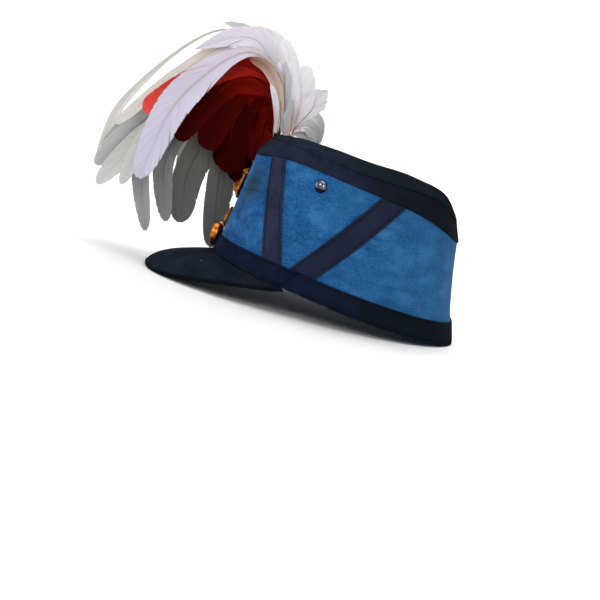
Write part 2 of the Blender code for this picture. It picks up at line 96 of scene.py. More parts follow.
PEAK_END_ANGLE = 69.0
PEAK_BACK = 31.0
PEAK_LENGTH = 117.5
PEAK_HALF_WIDTH = 80.0
PEAK_FULLNESS = 2.15
PEAK_THICKNESS = 2.5
PEAK_ARCH = 9.0
PEAK_STEPS = 38
PEAK_EDGE_STEPS = 220
PEAK_ROLL_STEPS = 14
PEAK_LIFT = 0.45              # the cloth lies this far above the lowest edge
PEAK_EDGE_DROP = (            # forward place on the edge, depth of its underside below the rim
    (31, 3.5), (60, 12.3), (99, 24.8), (135, 35.3), (150, 36.3),
)

Ribbon = namedtuple("Ribbon", "name low_front low_back high_front high_back")
RIBBONS = (
    Ribbon("front", 56.0, 67.5, 37.0, 48.5),
    Ribbon("back", 71.5, 84.0, 104.0, 118.0),
)
STUD_ANGLE = 73.5
STUD_LEVEL = 0.888
CREST_HEIGHT = 51.0
CREST_HALF_HEIGHT = 12.0
CREST_HALF_WIDTH = 11.0
SHIELD_RIGHT_SIDE = (         # sideways, up, as shares of the half sizes; from the top middle down
    (0.0, 1.0), (0.35, 0.72), (0.72, 0.78), (1.0, 0.62), (0.98, 0.1), (0.80, -0.35), (0.45, -0.74),
)
CREST_FACE = (                # size as a share of the outline's, height over the felt
    (1.0, 0.1), (1.03, 0.8), (1.0, 1.8), (0.93, 2.2), (0.85, 2.0), (0.80, 1.4), (0.50, 1.6), (0.02, 1.8),
)
CREST_BOSS_UP = -3.4
CREST_KNOBS = (               # across, up, out, radius
    (0, 10.6, 3.6, 1.5), (0, 12.4, 1.5, 1.4), (0, 8.6, 2.0, 1.7), (5.6, 8.2, 2.0, 1.6),
    (-5.6, 8.2, 2.0, 1.6), (8.6, 3.4, 2.0, 1.2), (-8.6, 3.4, 2.0, 1.2), (0, 5.2, 2.0, 1.7),
)
BOSS_HEIGHT = 23.0
BUTTON_HEIGHT = 6.8
BUTTON_FACE = (               # radius, height, depth of the petal grooves, depth of the fine ridges
    (6.4, -1.9, 0, 0), (7.6, -1.2, 0, 0), (8.6, 0.0, 0, 0), (9.5, 0.6, 0, 0), (9.9, 1.6, 0, 0),
    (9.9, 4.6, 0, 0), (9.6, 5.6, 0, 0.1), (8.9, 6.0, 0, 0.5), (8.2, 5.6, 0, 0.5), (7.6, 5.0, 0.2, 0.1),
    (7.0, 5.2, 1.2, 0), (6.0, 6.1, 1.6, 0), (4.8, 6.7, 1.5, 0), (3.6, 6.9, 1.0, 0), (2.9, 6.4, 0.3, 0),
    (2.4, 6.8, 0, 0), (1.6, 7.4, 0, 0), (0.7, 7.6, 0, 0),
)

FELT_SHADOW_SPOT = (0.0365, -0.0160, 0.0845)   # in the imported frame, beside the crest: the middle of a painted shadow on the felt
CLOTHS = {                    # back is a darker colour painted towards the back of the hat as painted shade, and where along Y it starts and ends
    "navy_head_cloth": dict(dark=(0.0036, 0.0072, 0.0205), light=(0.0105, 0.0155, 0.0350),
                            back=((0.0046, 0.0072, 0.0105), 0.045, 0.11)),
    "navy_band_cloth": dict(dark=(0.0070, 0.0100, 0.0205), light=(0.0165, 0.0205, 0.0380),
                            back=((0.0046, 0.0072, 0.0105), 0.060, 0.11)),
    "navy_ribbon": dict(dark=(0.0150, 0.0190, 0.045), light=(0.044, 0.050, 0.098), threads=1300.0,
                        roughness=0.8, back=((0.0125, 0.0170, 0.0345), -0.04, 0.05)),
    "navy_top_cloth": dict(dark=(0.0083, 0.0127, 0.0220), light=(0.0170, 0.0242, 0.0399), roughness=0.92,
                           lint=0.06, back=((0.0066, 0.0100, 0.0137), 0.015, 0.085), gloss=0.0),
    "navy_peak_cloth": dict(dark=(0.0046, 0.0080, 0.0140), light=(0.0125, 0.0172, 0.0255), lint=0.5),
    "navy_peak_roll": dict(dark=(0.0025, 0.0036, 0.0055), light=(0.0055, 0.0075, 0.0105)),
    # near-black: the thread's own dark navy, made darker still as painted shade of the puckers along the
    # stitches
    "navy_thread": dict(dark=(0.0006, 0.0008, 0.0018), light=(0.0016, 0.0020, 0.0040), threads=2600.0,
                        roughness=0.7),
    "socket_cloth": dict(dark=(0.0040, 0.0060, 0.0100), light=(0.0090, 0.0120, 0.0180)),
}

STITCH_PITCH = 1.9
STITCH_LENGTH = 1.35
THREAD_RADIUS = 0.28
DASH_RISE = ((0.0, -0.22), (0.25, 0.08), (0.75, 0.08), (1.0, -0.22))   # along a dash, out of the cloth
DASH_STEPS = 5
RIBBON_SEAMS = (0.13, 0.87)   # across a ribbon

SOCKET_ANGLE = -33.0
SOCKET_LOW_LEVEL = 0.62
SOCKET_HIGH_LEVEL = 0.93
SOCKET_RADIUS = 7.0
SOCKET_BORE = 5.6
SOCKET_FLOOR = 1.5
SOCKET_AIR = 0.8

PLUME_BASE = (90.5, -41.0, 94.0)
PLUME_LEAN = 22.9
FOOT_RADIUS = 7.0
FOOT_TOP = 2.0                # where the thread that binds the quills ends
SIDE_BOW = 1.3

# tint is the vane's colour, form its outline, and ragged how much its lower edge splits, from 0 to 1.
# side is how far left of the hat's middle the tip is, and bias makes the vane wider on its outer side
# (above 0) or its inner side (below 0). The path is out and up from the plume's base, root to tip.
Feather = namedtuple("Feather", "tint form ragged width turn side bias shaft path")
PLUME = {                     # each piece of it, with its slot and its feathers
    "plume_near_feathers": ("feather_white", (
        ("lilac", "arch", 0.9, 30, 18, 12, 0, "brown",
         ((4.5, -1), (-1.7, 32.2), (0.4, 52.2), (23, 68.9), (76.5, 32.4), (107.7, -30.7))),
        ("pale_lilac", "late_taper", 0.5, 22, 30, -35, 0, "cream",
         ((3.8, 0), (2.6, 48.4), (19, 78), (37, 81), (70, 72))),
        ("pale", "thin", 0.4, 6, 10, -48, 0, "cream", ((2.6, 0), (1.8, 43.4), (9, 70), (25, 87), (48, 94))),
        ("white", "blunt", 0.12, 17, 10, -34, 0.38, "peach",
         ((-7.9, -1), (-12.3, 13.6), (-16.2, 27.3), (-16.9, 40.1), (-15.9, 48.9), (-14, 56.5))),
        ("white", "wedge", 0.1, 19, 8, -38, 0, "none",
         ((-7.9, -1), (-13, 12.7), (-19.7, 22.4), (-28, 29.6), (-38.8, 38))),
        ("white", "crest", 0.3, 17, 10, -50, -0.3, "cream",
         ((-5.4, -1), (-6.9, 22.5), (-6.3, 42.7), (-5.7, 61.4), (-2.9, 80.1))),
        ("white", "crest", 0.25, 22, 15, -52, 0.12, "peach",
         ((-2.1, -1), (-5.3, 30.6), (-3.4, 53.3), (3.4, 69.5), (16.1, 77.8), (32.2, 85.4))),
        ("white", "bare", 0.3, 30, 45, -48, 0, "cream", ((5, 0), (3.5, 43.4), (5, 70), (15, 80), (34, 79))),
        ("mist", "lobe", 0.05, 9, 8, -32, 0.1, "none",
         ((-0.5, -1), (-3, 24.1), (-3, 43.4), (2.3, 61), (12.5, 71.4))),
        ("mist", "lobe", 0.05, 5, 8, -32.5, 0.1, "none",
         ((-3.8, -1), (-5.9, 24.1), (-6.3, 38.6), (-6.2, 49.8), (-4.5, 62.5))),
        ("white", "crest", 0.2, 16, 8, -34, -0.1, "none",
         ((0.4, -1), (-2.5, 20.9), (-4.5, 37), (-4.8, 49.8), (-2.7, 62.6))),
        ("white", "strip", 0, 5, 4, -22, 0, "none",
         ((4.5, -1), (2.7, 14.4), (2.6, 25.7), (3.6, 35.3), (5.9, 44))),
        ("amber", "fan", 0, 9, 4, -20, 0, "none",
         ((3.3, -1), (0, 20.9), (0.9, 37), (4.7, 48.9), (11.8, 58.8), (22.8, 63.5))),
        ("dim_lilac", "strip", 0.2, 8, 12, -33, 0, "none",
         ((6.2, -1.8), (10.6, 0.6), (15.4, -4.6), (18.8, -13.1), (20.4, -24.4))),
    )),
    "plume_front_feathers": ("feather_white", (
        ("lit_cream", "thin", 0.3, 9, -40, -55, 0, "cream",
         ((5.3, 0), (3.7, 54.6), (46, 88), (133, 32), (161, -18))),
        ("dusk", "late", 0.2, 18, 45, -35, 0, "cream",
         ((3.7, 0), (2.6, 49), (29, 79), (82, 53), (137, 12))),
        ("pale", "bare", 0.2, 27, -42, -45, 0, "cream",
         ((2.1, 0), (1.5, 38.4), (21, 62), (101, 24), (158, -22))),
        ("ash", "bare", 0, 27, 40, -28, 0, "cream",
         ((4.7, 0), (3.3, 32.9), (30, 53), (102, 10), (153, -37))),
        ("ash", "bare", 0, 20, 35, -15, 0, "cream", ((3, 0), (2.1, 32.2), (32, 52), (99, 13), (129, -37))),
        ("pale", "bare", 0.2, 18, -50, -60, 0, "cream",
         ((5.6, 0), (4, 45.9), (26, 74), (118.2, 25.5), (161, -16))),
        ("pale", "late", 0.2, 27, -55, -82, 0, "cream",
         ((4.4, 0), (3.1, 43.4), (20, 70), (90, 40), (128, -20))),
        ("pale", "late", 0.2, 27, -50, -84, 0, "cream",
         ((2.8, 0), (1.9, 37.2), (15, 60), (70, 20), (95, -50))),
    )),
    "plume_low_feathers": ("feather_white", (
        ("shaded_grey", "long", 0, 23, 35, -30, 0, "smoke",
         ((4.1, 0), (2.9, 29.8), (38, 48), (111, -10), (113, -76))),
        ("shaded_grey", "long", 0, 26, 36, -42, 0, "smoke",
         ((2.5, 0), (1.8, 27.3), (33, 44), (95, -10), (98, -69))),
        ("shaded_slate", "long", 0, 30, -40, -55, 0, "smoke",
         ((5, 0), (3.5, 24.2), (26, 39), (79, -27), (89, -71))),
        ("shaded_slate", "long", 0, 26, -40, -68, 0, "smoke",
         ((3.1, 0), (2.1, 19.2), (25, 31), (49, -13), (64.5, -93))),
        ("ash", "late", 0, 27, -50, -84, 0, "smoke", ((4.2, 0), (3, 31), (10, 50), (45, 0), (60, -60))),
    )),
    "plume_down": ("feather_white", (
        ("down", "lobe", 0.2, 10, -30, -76, 0, "none",
         ((-5.4, -1), (-13.5, 13.5), (-21.8, 18.8), (-28.1, 12.5), (-28.5, -5.1))),
        ("down", "crest", 0.7, 15, -20, -66, 0.1, "none",
         ((-4.6, -1), (-11.4, 6.2), (-17.5, 9.4), (-22.8, 6.9), (-25.4, -7.3))),
        ("down", "crest", 0.7, 17, -15, -60, 0.1, "none",
         ((-3.8, -1.9), (-7.6, 1.4), (-13, 3.7), (-18.2, 1.2), (-21.1, -10.5))),
        ("down", "taper", 0.6, 9, -10, -28, 0, "none",
         ((-4.6, -1), (-6.6, 8.7), (-7.9, 16.8), (-9.3, 24.9), (-9.1, 33.7))),
        ("down", "taper", 0.6, 8, 10, -26, 0, "none",
         ((-2.1, -1), (-3.4, 7.9), (-5.6, 16), (-9.5, 24.1), (-11.8, 31.2))),
    )),
    "plume_red_feathers": ("feather_red", (
        ("scarlet", "late", 0.05, 23, 22, -12, 0, "red",
         ((2.5, 0), (1.4, 36), (24, 58), (68, 46), (108.1, 22.8))),
        ("crimson", "late", 0.1, 26, 28, -18, 0, "red",
         ((4.8, 0), (3.3, 27.9), (34, 45), (51, 36), (82, -1))),
        ("crimson", "late", 0.1, 26, -30, -28, 0, "red",
         ((3.5, 0), (2.5, 24.8), (26, 40), (46, 24), (61, -9))),
        ("shaded_maroon", "late", 0.2, 32, 22, -35, 0, "red", ((2, 0), (1.4, 20.5), (21, 33), (40, 9), (39, -29))),
        ("shaded_maroon", "broad", 0.05, 24, 20, -40, 0, "red",
         ((4.6, 0), (3.2, 12.4), (19, 20), (26, 3), (38, -36))),
        ("shaded_maroon", "broad", 0.05, 25, -38, -48, 0, "red",
         ((3, 0), (2.1, 24.8), (25, 40), (45, 16), (51, -24))),
        ("crimson", "broad", 0.05, 25, -50, -60, 0, "red",
         ((5.4, 0), (3.8, 31), (25, 50), (68, 27), (82, 1))),
        ("shaded_maroon", "broad", 0.05, 22, -42, -64, 0, "red",
         ((3.4, 0), (2.4, 23.6), (15, 38), (35, 5), (38, -40))),
        ("crimson", "late", 0.05, 27, -20, -25, 0, "red",
         ((2.1, 0), (1.5, 29.8), (16, 48), (34, 52), (60, 34))),
        ("crimson", "strip", 0.05, 21, 6, -38, -0.45, "none",
         ((7, -2.6), (10.1, 13.6), (12.4, 29.9), (14.7, 43.6), (21.1, 56.5), (36.6, 62.2))),
        ("crimson", "broad", 0.05, 22, 10, -32, -0.1, "none",
         ((6.2, -1), (8.4, 8.8), (14, 11.2), (18.7, 1.5), (22.3, -17.9))),
        ("crimson", "broad", 0.05, 20, 10, -36, 0, "none",
         ((5.3, -1), (7.6, 16.1), (14, 25.8), (21.4, 16.1), (25.3, -9.8))),
        ("crimson", "broad", 0.05, 20, 5, -42.5, -0.1, "none",
         ((7, -1), (10.2, 22.6), (17.5, 42), (29.1, 55.1), (49.1, 52))),
        ("crimson", "strip", 0.05, 9, 5, -41.5, 0, "none",
         ((7.9, -7.5), (8.2, 4.7), (9.4, 16.1), (11.8, 26.6))),
    )),
}
SHAFT_TINTS = {               # colour at the root and near the tip, in linear light
    "cream": ((0.70, 0.50, 0.36), (0.62, 0.52, 0.46)),
    "peach": ((0.74, 0.55, 0.38), (0.70, 0.42, 0.26)),
    "brown": ((0.62, 0.44, 0.28), (0.50, 0.40, 0.40)),
    "smoke": ((0.34, 0.28, 0.19), (0.03, 0.03, 0.025)),
    "red": ((0.22, 0.03, 0.015), (0.07, 0.002, 0.001)),
}
# Some tints carry painted light and shade: the two greys of the low feathers are partly their own colour and
# partly painted shade, the brightest cream is made brighter as painted light on a feather that faces down,
# and the reds go from a bright scarlet at the top to a dark red low in the plume as painted light and shade.
TINTS = {                     # colour at the root, in the middle and at the tip, in linear light
    "lilac": ((0.66, 0.57, 0.54), (0.60, 0.55, 0.66), (0.53, 0.515, 0.63)),
    "pale_lilac": ((0.80, 0.75, 0.78), (0.71, 0.665, 0.74), (0.59, 0.54, 0.62)),
    "dim_lilac": ((0.50, 0.42, 0.50), (0.42, 0.36, 0.48), (0.16, 0.15, 0.15)),
    "white": ((0.86, 0.80, 0.81), (0.88, 0.85, 0.89), (0.87, 0.86, 0.89)),
    "mist": ((0.62, 0.58, 0.56), (0.56, 0.55, 0.55), (0.64, 0.63, 0.65)),
    "down": ((0.76, 0.72, 0.72), (0.68, 0.69, 0.69), (0.57, 0.595, 0.595)),
    "pale": ((0.80, 0.72, 0.63), (0.73, 0.705, 0.685), (0.60, 0.60, 0.59)),
    "lit_cream": ((0.97, 0.88, 0.78), (0.97, 0.92, 0.86), (0.92, 0.90, 0.87)),
    "amber": ((0.82, 0.72, 0.64), (0.72, 0.55, 0.44), (0.12, 0.006, 0.003)),
    "dusk": ((0.66, 0.52, 0.47), (0.68, 0.59, 0.55), (0.60, 0.59, 0.56)),
    "ash": ((0.62, 0.57, 0.50), (0.58, 0.57, 0.53), (0.56, 0.56, 0.55)),
    "shaded_grey": ((0.42, 0.40, 0.33), (0.38, 0.38, 0.36), (0.30, 0.30, 0.30)),
    "shaded_slate": ((0.26, 0.24, 0.15), (0.22, 0.215, 0.17), (0.25, 0.25, 0.25)),
    "scarlet": ((0.22, 0.008, 0.004), (0.36, 0.016, 0.010), (0.76, 0.075, 0.060)),
    "crimson": ((0.26, 0.008, 0.004), (0.19, 0.006, 0.003), (0.11, 0.0035, 0.002)),
    "shaded_maroon": ((0.17, 0.004, 0.002), (0.085, 0.0014, 0.0006), (0.075, 0.0012, 0.0005)),
}
# painted light and shade on the two darker reds: darker low in the plume, lighter high up
HEIGHT_SHADED_REDS = ("crimson", "shaded_maroon")
RED_SHADE_HEIGHTS = (105.0, 140.0)
RED_SHADE_SHARES = (0.42, 1.3)  # of the colour, at those two heights
STRANDS = (                   # colour, radius, then places out, up and left from the plume's base
    ((0.55, 0.02, 0.02), 0.30, ((-8, 2, -40), (-11, 6, -30), (-16, 7.5, -25), (-20, 4, -23))),
    ((0.60, 0.03, 0.04), 0.30, ((-9, 3, -40), (-13, 8, -30), (-17, 9, -26), (-18, 6.5, -25))),
    ((0.45, 0.02, 0.12), 0.30, ((-7, 1, -38), (-10, 4, -30), (-12, 2.5, -26))),
    ((0.66, 0.46, 0.3), 0.42, ((6, -0.1, -36), (5.2, 8, -33.2), (4, 17.7, -31.2), (4.1, 27.4, -29.8))),
    ((0.3, 0.09, 0.045), 0.32, ((2.9, -0.1, -35.5), (1.6, 9.6, -33.2), (0.3, 19.3, -31.2),
      (-1.1, 29.8, -29.8))),
    ((0.72, 0.55, 0.4), 0.48, ((-0.2, -0.1, -35), (-1.1, 9.6, -33.2), (-2.3, 19.3, -31.2),
      (-3.6, 30.5, -29.8))),
    ((0.34, 0.07, 0.045), 0.3, ((-2.4, -0.1, -34.5), (-2.6, 8, -33.2), (-3, 16, -31.2))),
    ((0.74, 0.56, 0.42), 0.5, ((-5.2, -0.1, -34.5), (-6.9, 8.8, -33.2), (-8.7, 16, -31.2),
      (-9.4, 25.7, -29.8))),
    ((0.32, 0.12, 0.06), 0.32, ((-7.1, -0.1, -34), (-9.1, 8, -33.2), (-11.1, 16.8, -31.2))),
    ((0.76, 0.6, 0.46), 0.5, ((-8.7, -0.1, -34), (-11, 9.6, -33.2), (-13.5, 17.6, -31.2),
      (-15.5, 24, -29.8))),
)
OUTLINES = {                  # share of the length, share of the full width
    "long": ((0.1, 0.16), (0.2, 0.34), (0.34, 0.62), (0.5, 0.94), (0.68, 1), (0.84, 0.94), (0.93, 0.78),
             (0.98, 0.5), (1, 0.16)),
    "bare": ((0.36, 0.05), (0.5, 0.18), (0.62, 0.55), (0.74, 0.94), (0.82, 1), (0.9, 0.93), (0.95, 0.75),
             (0.985, 0.46), (1, 0.16)),
    "thin": ((0.3, 0.05), (0.42, 0.26), (0.6, 0.45), (0.74, 0.8), (0.84, 1), (0.91, 0.9), (0.96, 0.66),
             (1, 0.1)),
    "broad": ((0.04, 0.2), (0.12, 0.5), (0.25, 0.82), (0.42, 1), (0.7, 1), (0.85, 0.93), (0.94, 0.78),
              (0.985, 0.5), (1, 0.16)),
    "late": ((0.24, 0.04), (0.32, 0.34), (0.42, 0.8), (0.54, 1), (0.74, 1), (0.87, 0.93), (0.95, 0.78),
             (0.987, 0.5), (1, 0.16)),
    "late_taper": ((0.22, 0.04), (0.34, 0.3), (0.48, 0.85), (0.62, 1), (0.78, 0.8), (0.92, 0.36),
                   (1, 0.04)),
    "crest": ((0.14, 0.04), (0.23, 0.36), (0.35, 0.74), (0.5, 1), (0.78, 1), (0.9, 0.88), (0.96, 0.66),
              (1, 0.2)),
    "blunt": ((0.14, 0.04), (0.25, 0.42), (0.4, 0.8), (0.6, 1), (0.93, 1), (0.98, 0.84), (1, 0.45)),
    "wedge": ((0.14, 0.04), (0.25, 0.36), (0.4, 0.75), (0.6, 1), (0.8, 1), (0.9, 0.62), (1, 0.08)),
    "fan": ((0.1, 0.12), (0.3, 0.62), (0.55, 0.95), (0.8, 1), (0.92, 0.8), (1, 0.1)),
    "arch": ((0.1, 0.1), (0.2, 0.12), (0.32, 0.17), (0.44, 0.48), (0.56, 0.84), (0.68, 1), (0.84, 0.94),
             (0.93, 0.78), (0.98, 0.5), (1, 0.16)),
    "strip": ((0.05, 0.45), (0.2, 0.85), (0.5, 1), (0.8, 0.95), (0.92, 0.6), (1, 0.05)),
    "lobe": ((0.2, 0.05), (0.35, 0.5), (0.55, 1), (0.75, 0.85), (0.9, 0.45), (1, 0.04)),
    "taper": ((0.04, 0.3), (0.12, 0.6), (0.3, 1), (0.6, 0.85), (0.8, 0.5), (0.93, 0.22), (1, 0.03)),
}
BARB_PITCH = 1.1              # between the roots of two barbs
FINE_BARB_PITCH = 0.8         # on a ragged feather
LAST_BARB = 0.998             # share of the shaft where the last barb roots
BARB_STEPS = (0.0, 0.15, 0.4, 0.65, 0.84, 0.94, 1.0)
BARB_LEAD = 1.9               # how far a barb runs forward, in half widths
WIDE_LOCK = (14, 50)          # fewest and most barbs
FINE_LOCK = (3, 7)
TINT_MIDDLE = 0.45            # share of the shaft where the middle colour is reached
VANE_THICKNESS = 0.22
SHAFT_END = 0.965
FIRST_SEED = 100


# ---------------------------------------------------------------- small tools

def smooth_value(rows, place):
    """Reads a table of (place, value) rows as one smooth curve."""
    places = [row[0] for row in rows]
    values = [row[1] for row in rows]
    last = len(rows) - 1
    place = min(max(place, places[0]), places[last])
    i = max(k for k in range(last) if places[k] <= place)
    slopes = []
    for k in (i, i + 1):
        before, after = max(k - 1, 0), min(k + 1, last)
        slopes.append((values[after] - values[before]) / (places[after] - places[before]))
    span = places[i + 1] - places[i]
    t = (place - places[i]) / span
    return (values[i] * (2 * t**3 - 3 * t**2 + 1) + values[i + 1] * (3 * t**2 - 2 * t**3)
            + span * (slopes[0] * (t**3 - 2 * t**2 + t) + slopes[1] * (t**3 - t**2)))


def smooth_path(points, steps):
    """A smooth curve through the points, with the given number of steps between two of them."""
    ends = [points[0] * 2 - points[1]] + points + [points[-1] * 2 - points[-2]]
    path = []
    for before, start, end, after in zip(ends, ends[1:], ends[2:], ends[3:]):
        d0, d1, d2 = ((b - a).length**0.5 for a, b in ((before, start), (start, end), (end, after)))
        leave = ((start - before) / d0 - (end - before) / (d0 + d1) + (end - start) / d1) * d1
        arrive = ((end - start) / d1 - (after - start) / (d1 + d2) + (after - end) / d2) * d1
        for k in range(steps):
            t = k / steps
            path.append(start * (2 * t**3 - 3 * t**2 + 1) + leave * (t**3 - 2 * t**2 + t)
                        + end * (3 * t**2 - 2 * t**3) + arrive * (t**3 - t**2))
    return path + [points[-1]]


def blend(first, second, share):
    return first + (second - first) * share


def blend_ovals(first, second, share):
    return Oval(*(blend(a, b, share) for a, b in zip(first, second)))


def hat_point(forward, left, up):
    """A point of the hat's frame in metres: the front looks along -Y."""
    return Vector((left, -forward, up)) * MM


def lower(point, depth):
    return point - Vector((0, 0, depth * MM))


# ---------------------------------------------------------------- the crown's shape

def rim_height(angle):
    return -RIM_FRONT_DIP * max(0.0, math.cos(angle))**2


def fold_height(angle):
    front = FOLD_FRONT_LIFT * max(0.0, math.cos(angle))**24
    return FOLD_SIDE_HEIGHT - FOLD_END_DROP * math.cos(angle)**4 + front


def seam_height(angle):
    from_front = abs(math.degrees(math.remainder(angle, 2 * math.pi)))
    return smooth_value(SEAM_HEIGHTS, from_front)


def crown_point(angle, level, inset=0.0):
    """A point of the crown: level 0 is the rim, 1 the fold and 2 the top seam."""
    if level <= 1:
        oval = blend_ovals(RIM, FOLD, level)
        height = blend(rim_height(angle), fold_height(angle), level)
        inset += BACK_HOLLOW * math.sin(math.pi * level) * (1 - math.cos(angle)) / 2
    else:
        oval = blend_ovals(FOLD, SEAM, level - 1)
        height = blend(fold_height(angle), seam_height(angle), level - 1)
    forward = oval.centre + (oval.half_length - inset) * math.cos(angle)
    return hat_point(forward, (oval.half_width - inset) * math.sin(angle), height)


def head_band_level(angle):
    height = blend(HEAD_BAND_FRONT, HEAD_BAND_BACK, (1 - math.cos(angle)) / 2)
    return height / (fold_height(angle) - rim_height(angle))


def outward(angle, level):
    step = 0.01
    round_it = crown_point(angle + step, level) - crown_point(angle - step, level)
    up_it = crown_point(angle, level + step) - crown_point(angle, level - step)
    return round_it.cross(up_it).normalized()


def peak_edge(share):
    turn = math.pi / 2 * share
    cosine, sine = abs(math.cos(turn)), math.sin(turn)
    forward = PEAK_BACK + PEAK_LENGTH * cosine**(2 / PEAK_FULLNESS)
    left = PEAK_HALF_WIDTH * math.copysign(abs(sine)**(2 / PEAK_FULLNESS), sine)
    return forward, left


def rest_pitch():
    """The angle that the front rises by when the hat stands on its peak and the back of its rim."""
    back = RIM.half_length - RIM.centre - CLOTH_OUTER
    pitches = []
    for k in range(PEAK_STEPS + 1):
        forward, _ = peak_edge(2 * k / PEAK_STEPS - 1)
        pitches.append(math.atan2(smooth_value(PEAK_EDGE_DROP, forward), forward + back))
    return max(pitches)


def standing():
    """Takes the hat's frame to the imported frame, where the felt wall is found by its lowest corner."""
    tilt = Matrix.Rotation(-rest_pitch(), 4, "X")
    corners = []
    for k in range(CROWN_STEPS):
        angle = 2 * math.pi * k / CROWN_STEPS
        corners += [tilt @ crown_point(angle, level, FELT_INSET) for level in WALL_LEVELS]
        corners.append(tilt @ lower(crown_point(angle, 2.0, FELT_INSET), TOP_CLOTH_THICKNESS + GAP))
    wall_low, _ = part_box("crown_wall")
    low = Vector(min(corner[axis] for corner in corners) for axis in range(3))
    return Matrix.Translation(wall_low - low) @ tilt


STAND = standing()


# ---------------------------------------------------------------- camera, lights and floor

def camera_and_studio():
    """The camera keeps the photograph's view of the hat; the light is broad and soft."""
    bpy.ops.object.camera_add()
    camera = bpy.context.object
    camera.matrix_world = Matrix((
        (-0.131035, -0.127637, 0.983127, 1.14587),
        (0.961061, -0.259722, 0.094375, 0.14969),
        (0.243294, 0.957211, 0.156700, 0.18425),
        (0.0, 0.0, 0.0, 1.0),
    ))
    camera.data.lens = 87.15
    camera.data.sensor_width = 36.0
    bpy.context.scene.camera = camera

    lamps = (                 # name, place, aim, width, watts, colour
        ("left_light", (1.35, -0.75, 0.9), (0, -0.02, 0.10), 0.6, 6.2, (1.0, 0.98, 0.96)),
        ("right_light", (1.45, 0.6, 0.7), (0, 0.02, 0.10), 0.6, 4.6, (0.95, 0.97, 1.0)),
        ("left_strip", (-0.25, -1.5, 0.5), (0.05, -0.03, 0.12), 0.25, 1.6, (1.0, 0.98, 0.97)),
        ("right_strip", (1.35, 0.36, 0.24), (0.05, 0.0, 0.14), 0.16, 0.5, (1.0, 0.98, 1.0)),
        ("top_light", (0.2, 0.0, 1.6), (0, 0, 0.1), 1.3, 6.0, (1.0, 1.0, 1.0)),
        ("far_light", (-1.3, 0.1, 0.9), (0, 0, 0.1), 0.9, 4.0, (1.0, 0.99, 0.97)),
        ("sweep_light", (-0.9, 0.0, 2.6), (-2.6, 0.0, 0.6), 2.0, 48.0, (1.0, 1.0, 1.0)),
    )
    for name, place, aim, width, watts, colour in lamps:
        bpy.ops.object.light_add(type="AREA", location=place)
        lamp = bpy.context.object
        lamp.name = name
        lamp.rotation_euler = (Vector(aim) - Vector(place)).to_track_quat("-Z", "Y").to_euler()
        lamp.data.size = width
        lamp.data.energy = watts
        lamp.data.color = colour

    world = bpy.data.worlds.new("studio")
    world.use_nodes = True
    feed(world.node_tree, world.node_tree.nodes["Background"], {"Color": (0.97, 0.98, 1.0), "Strength": 0.50})
    bpy.context.scene.world = world
    bpy.context.scene.view_settings.view_transform = "Standard"

    bpy.ops.mesh.primitive_plane_add(size=5.0)
    floor = bpy.context.object
    floor.name = "floor_sweep"
    bpy.ops.object.mode_set(mode="EDIT")
    bpy.ops.mesh.select_mode(type="EDGE")
    sweep = bmesh.from_edit_mesh(floor.data)
    for edge in sweep.edges:
        edge.select_set(all(vertex.co.x < -2 for vertex in edge.verts))
    bmesh.update_edit_mesh(floor.data)
    bpy.ops.mesh.extrude_region_move(TRANSFORM_OT_translate={"value": (0, 0, 3.0)})
    for edge in sweep.edges:
        edge.select_set(all(vertex.co.x < -2 and vertex.co.z < 1 for vertex in edge.verts))
    bmesh.update_edit_mesh(floor.data)
    bpy.ops.mesh.bevel(offset=1.4, segments=24)
    bpy.ops.object.mode_set(mode="OBJECT")
    floor.data.shade_smooth()
    finish, _ = new_finish("pale_floor")
    floor.data.materials.append(surface(finish, {
        "Base Color": (0.93, 0.93, 0.93), "Roughness": 0.95, "Specular IOR Level": 0.1}))


# ---------------------------------------------------------------- finishes

def feed(tree, made, inputs):
    """Links each named input of a node to a socket, or sets it to a plain value; None leaves it alone."""
    for key, value in inputs.items():
        socket = made.inputs[key]
        if isinstance(value, bpy.types.NodeSocket):
            tree.links.new(value, socket)
        elif value is not None:
            socket.default_value = (*value, 1.0) if socket.type == "RGBA" else value


def new_finish(name):
    finish = bpy.data.materials.new(name)
    finish.use_nodes = True
    return finish, finish.node_tree


def surface(finish, inputs):
    """Feeds the finish's own shader."""
    feed(finish.node_tree, finish.node_tree.nodes["Principled BSDF"], inputs)
    return finish


def node(tree, kind, inputs=None, **settings):
    """Adds a shader node: its properties are set first, and then its inputs are fed."""
    made = tree.nodes.new("ShaderNode" + kind)
    for key, value in settings.items():
        setattr(made, key, value)
    feed(tree, made, inputs or {})
    return made


def new_group(name, inputs, outputs):
    """A shader node group with number inputs, each with its usual value, and number outputs."""
    group = bpy.data.node_groups.new(name, "ShaderNodeTree")
    for label, value in inputs.items():
        socket = group.interface.new_socket(name=label, in_out="INPUT", socket_type="NodeSocketFloat")
        socket.default_value = value
    for label in outputs:
        group.interface.new_socket(name=label, in_out="OUTPUT", socket_type="NodeSocketFloat")
    return group, group.nodes.new("NodeGroupInput").outputs, group.nodes.new("NodeGroupOutput")


def use_group(tree, group, **inputs):
    """Uses a group, its inputs named with _ for a space, and returns its outputs."""
    named = {key.replace("_", " "): value for key, value in inputs.items()}
    return node(tree, "Group", named, node_tree=group).outputs


def ramp(tree, stops, source):
    """A colour ramp through (place, colour) stops, fed from the source socket."""
    made = node(tree, "ValToRGB", {"Fac": source})
    band = made.color_ramp
    while len(band.elements) < len(stops):
        band.elements.new(0.5)
    for element, (place, colour) in zip(band.elements, stops):
        element.position = place
        element.color = (*colour, 1.0)
    return made.outputs["Color"]


def combined(tree, operation, first, second=None):
    """Two sockets, or a socket and a number, put together by a math node."""
    return node(tree, "Math", {0: first, 1: second}, operation=operation).outputs[0]


